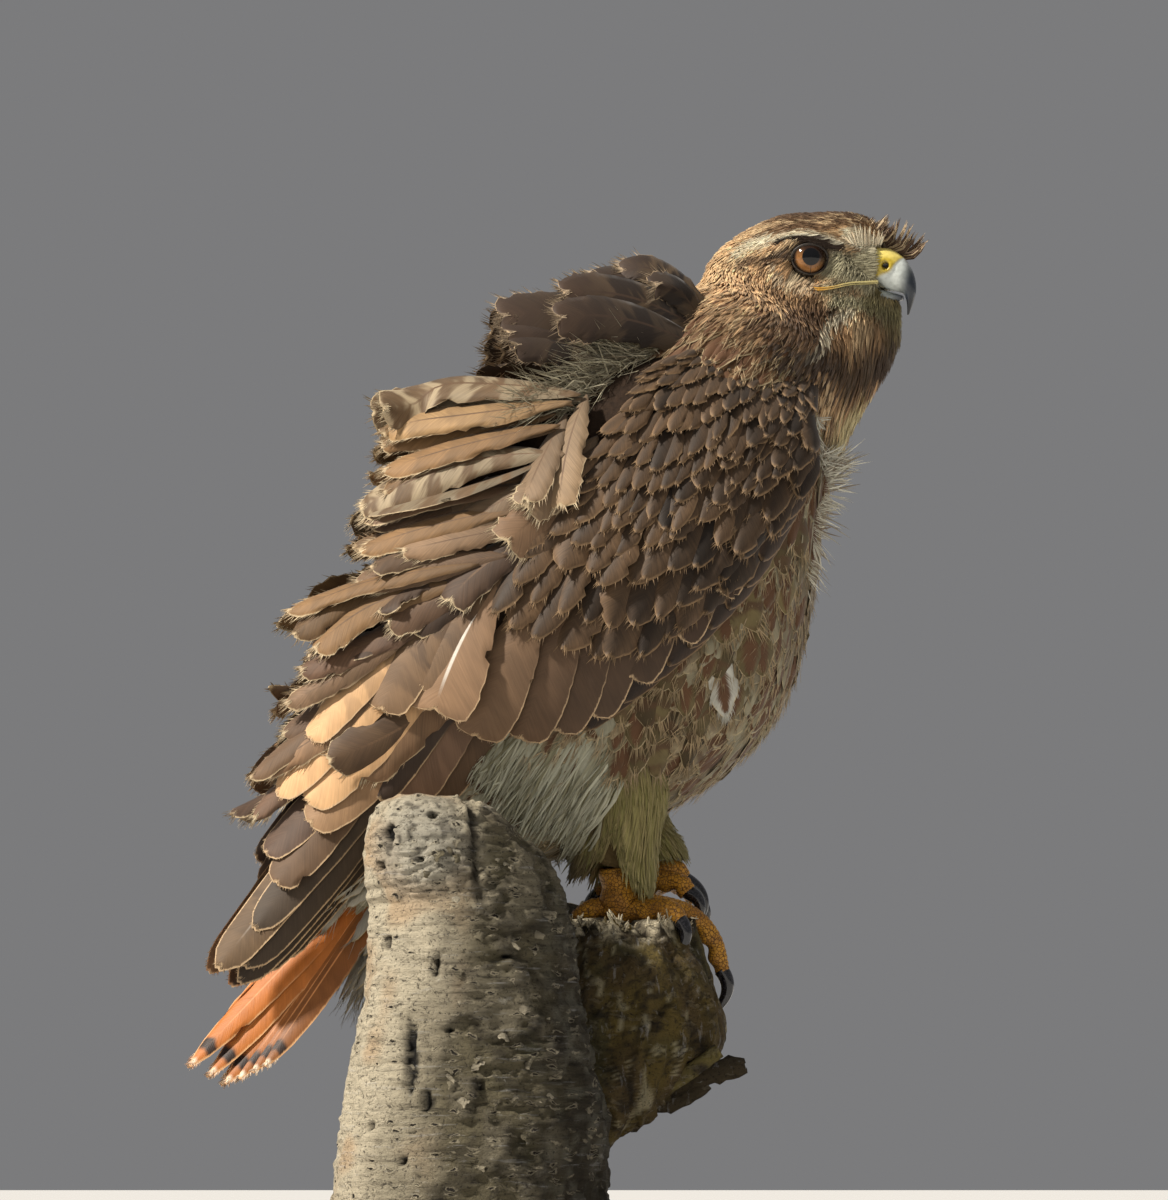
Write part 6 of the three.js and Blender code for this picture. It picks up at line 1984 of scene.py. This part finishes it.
def bark_material(name, mark_amount, line_scale):
    """Bark in its own tint, with fine lines, and short cross marks that have pale lips."""
    bark = Surface(name, 0.78, Specular_IOR_Level=0.28)
    place = bark.place()
    lines = bark.noise(bark.stretched(place, line_scale), 1.0, 5.0, 0.65)
    fine = bark.noise(place, 620.0, 5.0, 0.7)
    bend = bark.joined(z=bark.times(bark.noise(place, 130.0, 3.0), 0.008))
    bent = bark.add("VectorMath", {0: place, 1: bend}, operation="ADD").outputs[0]
    cracks = bark.noise(bark.stretched(bent, (90, 90, 260)), 1.0, 8.0, 0.75)
    cells = bark.add("TexVoronoi", {"Vector": bark.stretched(bent, (115, 115, 400)), "Scale": 1.0})
    chance = bark.add("SeparateColor", {0: cells.outputs["Color"]}).outputs[0]
    chosen = bark.times(bark.ramp(chance, 0.62, 0.66), mark_amount)
    away = bark.fused(fine, 0.55, cells.outputs["Distance"])
    slit = bark.times(bark.ramp(away, 0.52, 0.4), chosen)
    lip = bark.times(bark.ramp(away, 0.7, 0.55), chosen)
    colour = bark.blend(bark.tint(), (0.6, 0.6, 0.6), bark.ramp(lines, 0.42, 0.3, 0.0, 0.25))
    colour = bark.blend(colour, BARK_DARK, bark.ramp(lines, 0.54, 0.72, 0.0, 0.62))
    colour = bark.blend(colour, BARK_DARK, bark.ramp(fine, 0.54, 0.66, 0.0, 0.8))
    colour = bark.blend(colour, BARK_DARK, bark.ramp(cracks, 0.56, 0.66, 0.0, 0.8))
    colour = bark.blend(colour, (0.7, 0.68, 0.62), bark.ramp(cracks, 0.4, 0.3, 0.0, 0.3))
    colour = bark.blend(colour, SPLINTER, bark.times(lip, 0.3))
    height = bark.fused(lines, -0.8, bark.times(fine, -0.9))
    for value, amount in ((cracks, -1.6), (lip, 0.5), (slit, -1.3)):
        height = bark.fused(value, amount, height)
    return bark.finished(bark.blend(colour, BARK_DARK, slit), height, 1.0, 1.8)


def perch_rings(sections, rows, sides):
    table = smooth([(*one, 0)[:6] for one in sections], np.linspace(0, len(sections) - 1, rows))
    v = np.linspace(0, 2 * math.pi, sides, endpoint=False)[None]
    up, x, y, wide, deep, tilt = (table[:, k:k + 1] for k in range(6))
    side = deep * np.sin(v)
    return np.stack(np.broadcast_arrays(x + wide * np.cos(v), y + side, up + tilt * (side + deep)), -1)


def in_layers(p, size, seed):
    """Plateaus with sharp edges, as where outer bark has come away."""
    return step(-0.05, 0.05, noise(p, size, seed) + 0.3 * noise(p, np.array(size) / 4, seed + 1))


def hump(x, width, power=2):
    """1 where x is 0, falling to nothing beyond a width."""
    return np.exp(-((x / width) ** power))


def trunk_crease(p, front):
    """The crease that runs down from the trunk's top, and the knots along it."""
    x, up = p[..., 0], p[..., 2]
    line = np.array(CREASE, float)[::-1]
    offset = x - np.interp(up, line[:, 1], line[:, 0]) + 1.8 * noise(p * [0, 0, 1], 5, 46)
    near = front * step(166, 176, up)
    knots = near * hump(np.abs(offset) - 3.2, 1.8)
    return near * hump(offset, 1.6), knots * np.clip(noise(p, (3, 3, 4), 47), 0, 1)


def trunk_holes(p, front):
    """1 inside the holes of the trunk's face."""
    x, up = p[..., 0], p[..., 2]
    ragged = 0.25 * noise(p, 3, 48)
    hole = np.zeros_like(x)
    for middle, height, wide, high in HOLES:
        away = np.hypot((x - middle) / wide, (up - height) / high) + ragged
        hole = np.maximum(hole, front * hump(away, 1, 6))
    return hole


def trunk_tint(p, shade, layers, rough):
    """The weathered bark's colours, with painted shade over its right side, without its knob, crease and
    holes.
    """
    x, up = p[..., 0], p[..., 2]
    tint = blend(SILVER, GREY_BARK, shade)
    tint = blend(tint, WARM_BARK, step(0.1, 0.6, noise(p, (14, 14, 22), 50)) * 0.55 * (1 - shade))
    tint = blend(tint, MOSS, step(0.1, 0.7, noise(p, (12, 12, 16), 51)) * 0.6 * step(-20, 20, x))
    tint = blend(tint, SILVER * 0.6, layers * 0.3)
    tint = blend(tint, BARK_DARK, rough * step(0.0, 0.5, noise(p, (5, 5, 6), 55)) * 0.5)
    # Dark and rough near the stub: partly its own rough bark and partly painted shade where the stub joins.
    grey = blend(BARK_DARK, srgb(96, 94, 84), step(-0.1, 0.4, noise(p, (3, 3, 5), 56)))
    tint = blend(tint, grey, step(8, 34, x) * step(192, 172, up) * 0.7)
    rim = hump(noise(p, (15, 15, 22), 43), 0.12) * step(-34, -10, x)
    return blend(tint, BARK_DARK, rim * 0.45)


def trunk_shape(p):
    """How far the trunk's bark stands out at points, and its tint there."""
    x, y, up = np.moveaxis(p, -1, 0)
    front = step(-35, -55, y)
    height = 2.4 * noise(p, (24, 24, 44), 40) + 1.0 * noise(p, (9, 9, 4), 41)
    height = height + 0.5 * noise(p, (26, 26, 1.7), 42) + 0.5 * noise(p, (3.5, 3.5, 2), 54)
    layers = in_layers(p, (15, 15, 22), 43) * step(-34, -10, x + 0.1 * (150 - up))
    rough = step(-30, 0, x - 0.3 * (up - 110)) * step(184, 168, up)
    height = height + 1.6 * layers + 1.3 * rough * in_layers(p, (5, 5, 6), 55)
    from_knob = np.linalg.norm(p - KNOB, axis=-1)
    on_knob = hump(from_knob, KNOB_RADIUS, 4)
    whorl = np.sin(2 * math.pi * (from_knob + 2.5 * noise(p, 9, 44)) / WHORL)
    height = height + on_knob * (3.4 + 0.6 * whorl + 1.4 * noise(p, 4, 45))
    height = height - 2.6 * hump(up - 175 - 0.12 * (x + 36), 4.5) * step(-8, -24, x) * front
    crease, knots = trunk_crease(p, front)
    hole = trunk_holes(p, front)
    height = height - 2.6 * crease + 3.4 * knots - 4.5 * hole
    # Darker towards the right side: painted shade.
    shade = step(-42, -2, x - 0.25 * (up - 150) + 10 * noise(p, (18, 18, 30), 49))
    tint = blend(trunk_tint(p, shade, layers, rough), KNOB_GREY, on_knob * 0.8)
    specks = step(0.15, 0.55, noise(p, 2.4, 52) + 0.4 * noise(p, 6, 53))
    tint = blend(tint, BARK_DARK, specks * mix(0.15, 0.75, on_knob))
    # Dark along the crease: painted shade in it.
    tint = blend(tint, BARK_DARK, np.clip(crease * 0.9, 0, 1))
    tint = blend(tint, SPLINTER * 0.8, knots)
    # Near black in the holes: painted shade.
    return height, blend(tint, HOLE_SHADE, np.clip(hole * 1.6, 0, 1))


def stub_shape(p):
    """The same for the rotten stub."""
    x, y, up = np.moveaxis(p, -1, 0)
    height = 3.4 * noise(p, (17, 17, 24), 60) + 2.2 * noise(p, (6, 6, 26), 61)
    height = height + 1.1 * noise(p, (2.6, 2.6, 9), 62) + 2.2 * in_layers(p, (11, 11, 20), 63)
    tint = blend(ROTTEN, srgb(88, 72, 44), step(-0.5, 0.4, noise(p, (6, 6, 26), 64)) * 0.9)
    tint = blend(tint, BARK_DARK, hump(noise(p, (11, 11, 20), 63), 0.1) * 0.6)
    tint = blend(tint, MOSS * 0.8, step(0.0, 0.6, noise(p, (11, 11, 14), 65)) * 0.6)
    grey = step(38, 14, x + 8 * noise(p, 10, 66))
    scratch = step(0.1, 0.6, noise(p, (2.5, 2.5, 5), 67))
    tint = blend(tint, blend(srgb(70, 66, 54), srgb(150, 148, 136), scratch), grey * 0.85)
    tint = blend(tint, BARK_DARK, step(0.2, 0.65, noise(p, (1.8, 1.8, 5), 68)) * 0.7)
    tint = blend(tint, srgb(196, 186, 150), step(0.45, 0.75, noise(p, (3, 3, 11), 69)) * 0.5)
    torn = blend(BARK_DARK, SPLINTER, step(-0.1, 0.4, noise(p, (4, 4, 3), 70)))
    return height, blend(tint, torn, step(155, 163, up - 0.18 * (y - 34 + 42)) * 0.8)


def barked(name, rings, shape, surface, node, jagged=0.0):
    """A closed piece of bark, pushed out along its own faces. jagged is how far its top is torn."""
    across = np.roll(rings, -1, 1) - np.roll(rings, 1, 1)
    out = unit(np.cross(across, np.gradient(rings, axis=0)))
    height, tint = shape(rings)
    rings = rings + out * height[..., None]
    if jagged:
        rise = jagged * noise(rings[-1] * [1, 1, 0], 3.5, 71)
        near = step(len(rings) - 14, len(rings) - 1, np.arange(len(rings)))[:, None]
        rings[..., 2] += near * rise[None]
    tint = np.concatenate([tint.reshape(-1, 3), tint[0].mean(0)[None], tint[-1].mean(0)[None]])
    tinted(name, capped_grid(rings), tint, surface, (node,))
    return rings, out


def add_flakes(coat, rings, out):
    """Bits of bark that curl off the trunk."""
    count = FLAKES
    rows, columns = rings.shape[:2]
    i = rng.integers(20, int(rows * 0.72), count)
    j = np.round(columns * rng.uniform(0.7, 0.9, count)).astype(int)
    start, way = rings[i, j], out[i, j]
    aside = unit(np.cross(way, [0, 0, 1.0])) * rng.normal(0, 1, (count, 1)) + [0, 0, -0.5]
    aside = unit(aside)
    run = rng.uniform(2.5, 8, (count, 1))
    end = start + aside * run + way * run * rng.uniform(0.1, 0.4, (count, 1))
    spine = np.stack([start - way * 1.5, start + aside * run * 0.6 + way * 0.2, end], 1)
    # Each flake darkens towards its root, as painted shade where it curls off the trunk.
    tint = by_rows(blend(SILVER * 0.7, GREY_BARK, rng.random(count)), np.linspace(0.5, 1.3, coat.rows))
    coat.add(spine, way, rng.uniform(1.5, 4.5, count), [0.9, 1.0, 0.95, 0.8, 0.5], tint,
             (0.5, 0.5), ragged=0.5, thick=0.3, camber=0.3)


def add_splinters(coat, rings, out):
    """Splinters in groups round the stub's broken top."""
    count = SPLINTERS
    groups = rng.choice(SPLINTER_GROUPS, count)
    columns = rings.shape[1]
    j = np.round(columns * (groups + rng.normal(0, 0.012, count))).astype(int) % columns
    start, out = rings[-2, j], out[-2, j]
    way = out * rng.normal(0.35, 0.5, (count, 1)) + [0, 0, 0.6] + rng.normal(0, 0.4, (count, 3))
    way = unit(way)
    run = rng.uniform(1.5, 6.0, (count, 1))
    spine = np.stack([start - way * 2, start + way * run * 0.5, start + way * run], 1)
    tint = blend(SPLINTER, ROTTEN, rng.random(count) ** 2)
    coat.add(spine, out, rng.uniform(0.3, 0.9, count), POINTED_PLAN, varied(tint, count, 0.12),
             (0.5, 0.5), ragged=0.3, thick=0.3)


def make_flakes(surface, trunk, stub):
    coat = Feathers("bark_flakes", surface, "bark", columns=4, rows=5, sheet=True)
    add_flakes(coat, *trunk)
    add_splinters(coat, *stub)
    coat.make()


# The rolled strip of bark under the stub, and the torn flaps behind it
ROLL = [(60, -10, 84), (72, -12, 93), (86, -13, 102), (98, -13, 110.5)]
TORN_PLAN = [0.8, 1.0, 0.95, 1.0, 0.85, 0.9, 0.6]
FLAPS = [
    ([(66, -4, 92), (88, -6, 100), (109, -8, 105.5)], 8.0),
    ([(52, -8, 92), (58, -10, 84), (64, -10, 77)], 8.0),
    ([(58, -6, 88), (76, -8, 88), (92, -9, 97)], 6.0),
]
ROLL_RADII, TORN_TINT = [3.4, 4.0, 3.8, 3.6, 3.2], srgb(74, 64, 46)


def make_bark_roll(surface):
    f = np.linspace(0, 1, 50)
    path = on_line(ROLL, f)
    rings = tube_rings(path, on_line(ROLL_RADII, f), 40)
    lumps = 0.5 * noise(rings, (5, 5, 5), 80) + 0.25 * noise(rings, 1.8, 81)
    rings = rings + unit(rings - path[:, None]) * lumps[..., None]
    grid = capped_grid(rings)
    tint = blend(srgb(120, 108, 62), srgb(70, 60, 44), step(-0.2, 0.5, noise(grid[0], (6, 6, 6), 82)))
    tinted("bark_roll", grid, tint, surface, ("perch_bark_flap",))
    coat = Feathers("bark_torn", surface, "bark", columns=9, rows=16, sheet=True)
    for line, half in FLAPS:
        coat.add(np.array([line], float), np.array([[-0.2, -0.9, 0.35]]), half, TORN_PLAN, TORN_TINT[None],
                 (0.5, 0.5), ragged=0.6, notch=0.5, thick=0.9, camber=0.3, sweep=0.1, curl=[-4])
    coat.make()


def make_perch():
    silver = bark_material("bark_silver", 1.0, (50, 50, 480))
    trunk = barked("trunk", perch_rings(TRUNK_SECTIONS, 300, 130), trunk_shape, silver, "perch_trunk")
    rotten = bark_material("bark_rotten", 0.25, (320, 320, 70))
    stub = barked("stub", perch_rings(STUB_SECTIONS, 170, 150), stub_shape, rotten, "perch_stub", 4.0)
    make_flakes(silver, trunk, stub)
    make_bark_roll(rotten)


make_perch()

# The stand keeps its solids, in dark oiled wood and steel


def stand_material():
    wood = Surface("stand_wood", 0.42, Coat_Weight=0.15)
    grain = wood.noise(wood.stretched(wood.place(), (10, 160, 160)), 1.0, 5.0, 0.65)
    colour = wood.blend(srgb(62, 42, 28), srgb(104, 74, 48), wood.ramp(grain, 0.35, 0.7))
    return wood.finished(colour, grain, 0.3, 0.3)


def rod_material():
    steel = Surface("stand_steel", 0.35, Metallic=1.0)
    brushed = steel.noise(steel.stretched(steel.place(), (40, 40, 2500)), 1.0)
    colour = steel.blend(srgb(120, 118, 114), srgb(168, 166, 160), steel.ramp(brushed, 0.3, 0.7))
    return steel.finished(colour)


def dress_stand():
    wood, steel = stand_material(), rod_material()
    for name, surface in (("stand_base", wood), ("stand_rod_1", steel), ("stand_rod_2", steel)):
        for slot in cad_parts[name].material_slots:
            slot.material = surface


dress_stand()

# Floor, light and world

FLOOR_REACH, FLOOR_DROP = 60.0, 0.0004
WORLD_STRENGTH = 0.22
# Each lamp's azimuth from the camera's side towards +X, elevation, softness in degrees, strength, colour
# and whether it shows in the eyes and other glossy things
LIGHTS = {
    "key": (-70, 42, 5, 5.2, (1.0, 0.94, 0.85), True),
    "fill": (20, 25, 50, 0.28, (0.98, 0.97, 0.96), False),
    "back": (150, 35, 25, 0.5, (0.95, 0.97, 1.0), False),
}


def make_floor():
    mesh = bpy.data.meshes.new("floor")
    square = ((-1, -1), (1, -1), (1, 1), (-1, 1))
    corners = [(x * FLOOR_REACH, y * FLOOR_REACH, -FLOOR_DROP) for x, y in square]
    mesh.from_pydata(corners, [], [(0, 1, 2, 3)])
    floor = bpy.data.objects.new("floor", mesh)
    bpy.context.scene.collection.objects.link(floor)
    plain = Surface("floor", 0.9)
    colour = plain.blend((0.62, 0.61, 0.59), (0.66, 0.65, 0.63), plain.noise(plain.place(), 8.0))
    mesh.materials.append(plain.finished(colour))


def make_world():
    world = bpy.data.worlds.new("studio")
    world.use_nodes = True
    background = world.node_tree.nodes["Background"]
    background.inputs["Color"].default_value = (0.9, 0.9, 0.92, 1)
    background.inputs["Strength"].default_value = WORLD_STRENGTH
    bpy.context.scene.world = world


def make_lights():
    for name, (azimuth, elevation, softness, strength, colour, mirrored) in LIGHTS.items():
        data = bpy.data.lights.new(name, "SUN")
        data.angle, data.energy, data.color = math.radians(softness), strength, colour
        light = bpy.data.objects.new(name, data)
        bpy.context.scene.collection.objects.link(light)
        turn, rise = math.radians(azimuth), math.radians(elevation)
        way = (math.sin(turn) * math.cos(rise), -math.cos(turn) * math.cos(rise), math.sin(rise))
        light.rotation_euler = Vector(way).to_track_quat("Z", "Y").to_euler()
        light.visible_glossy = mirrored


make_floor()
make_world()
make_lights()
bpy.context.scene.view_settings.view_transform = "Standard"
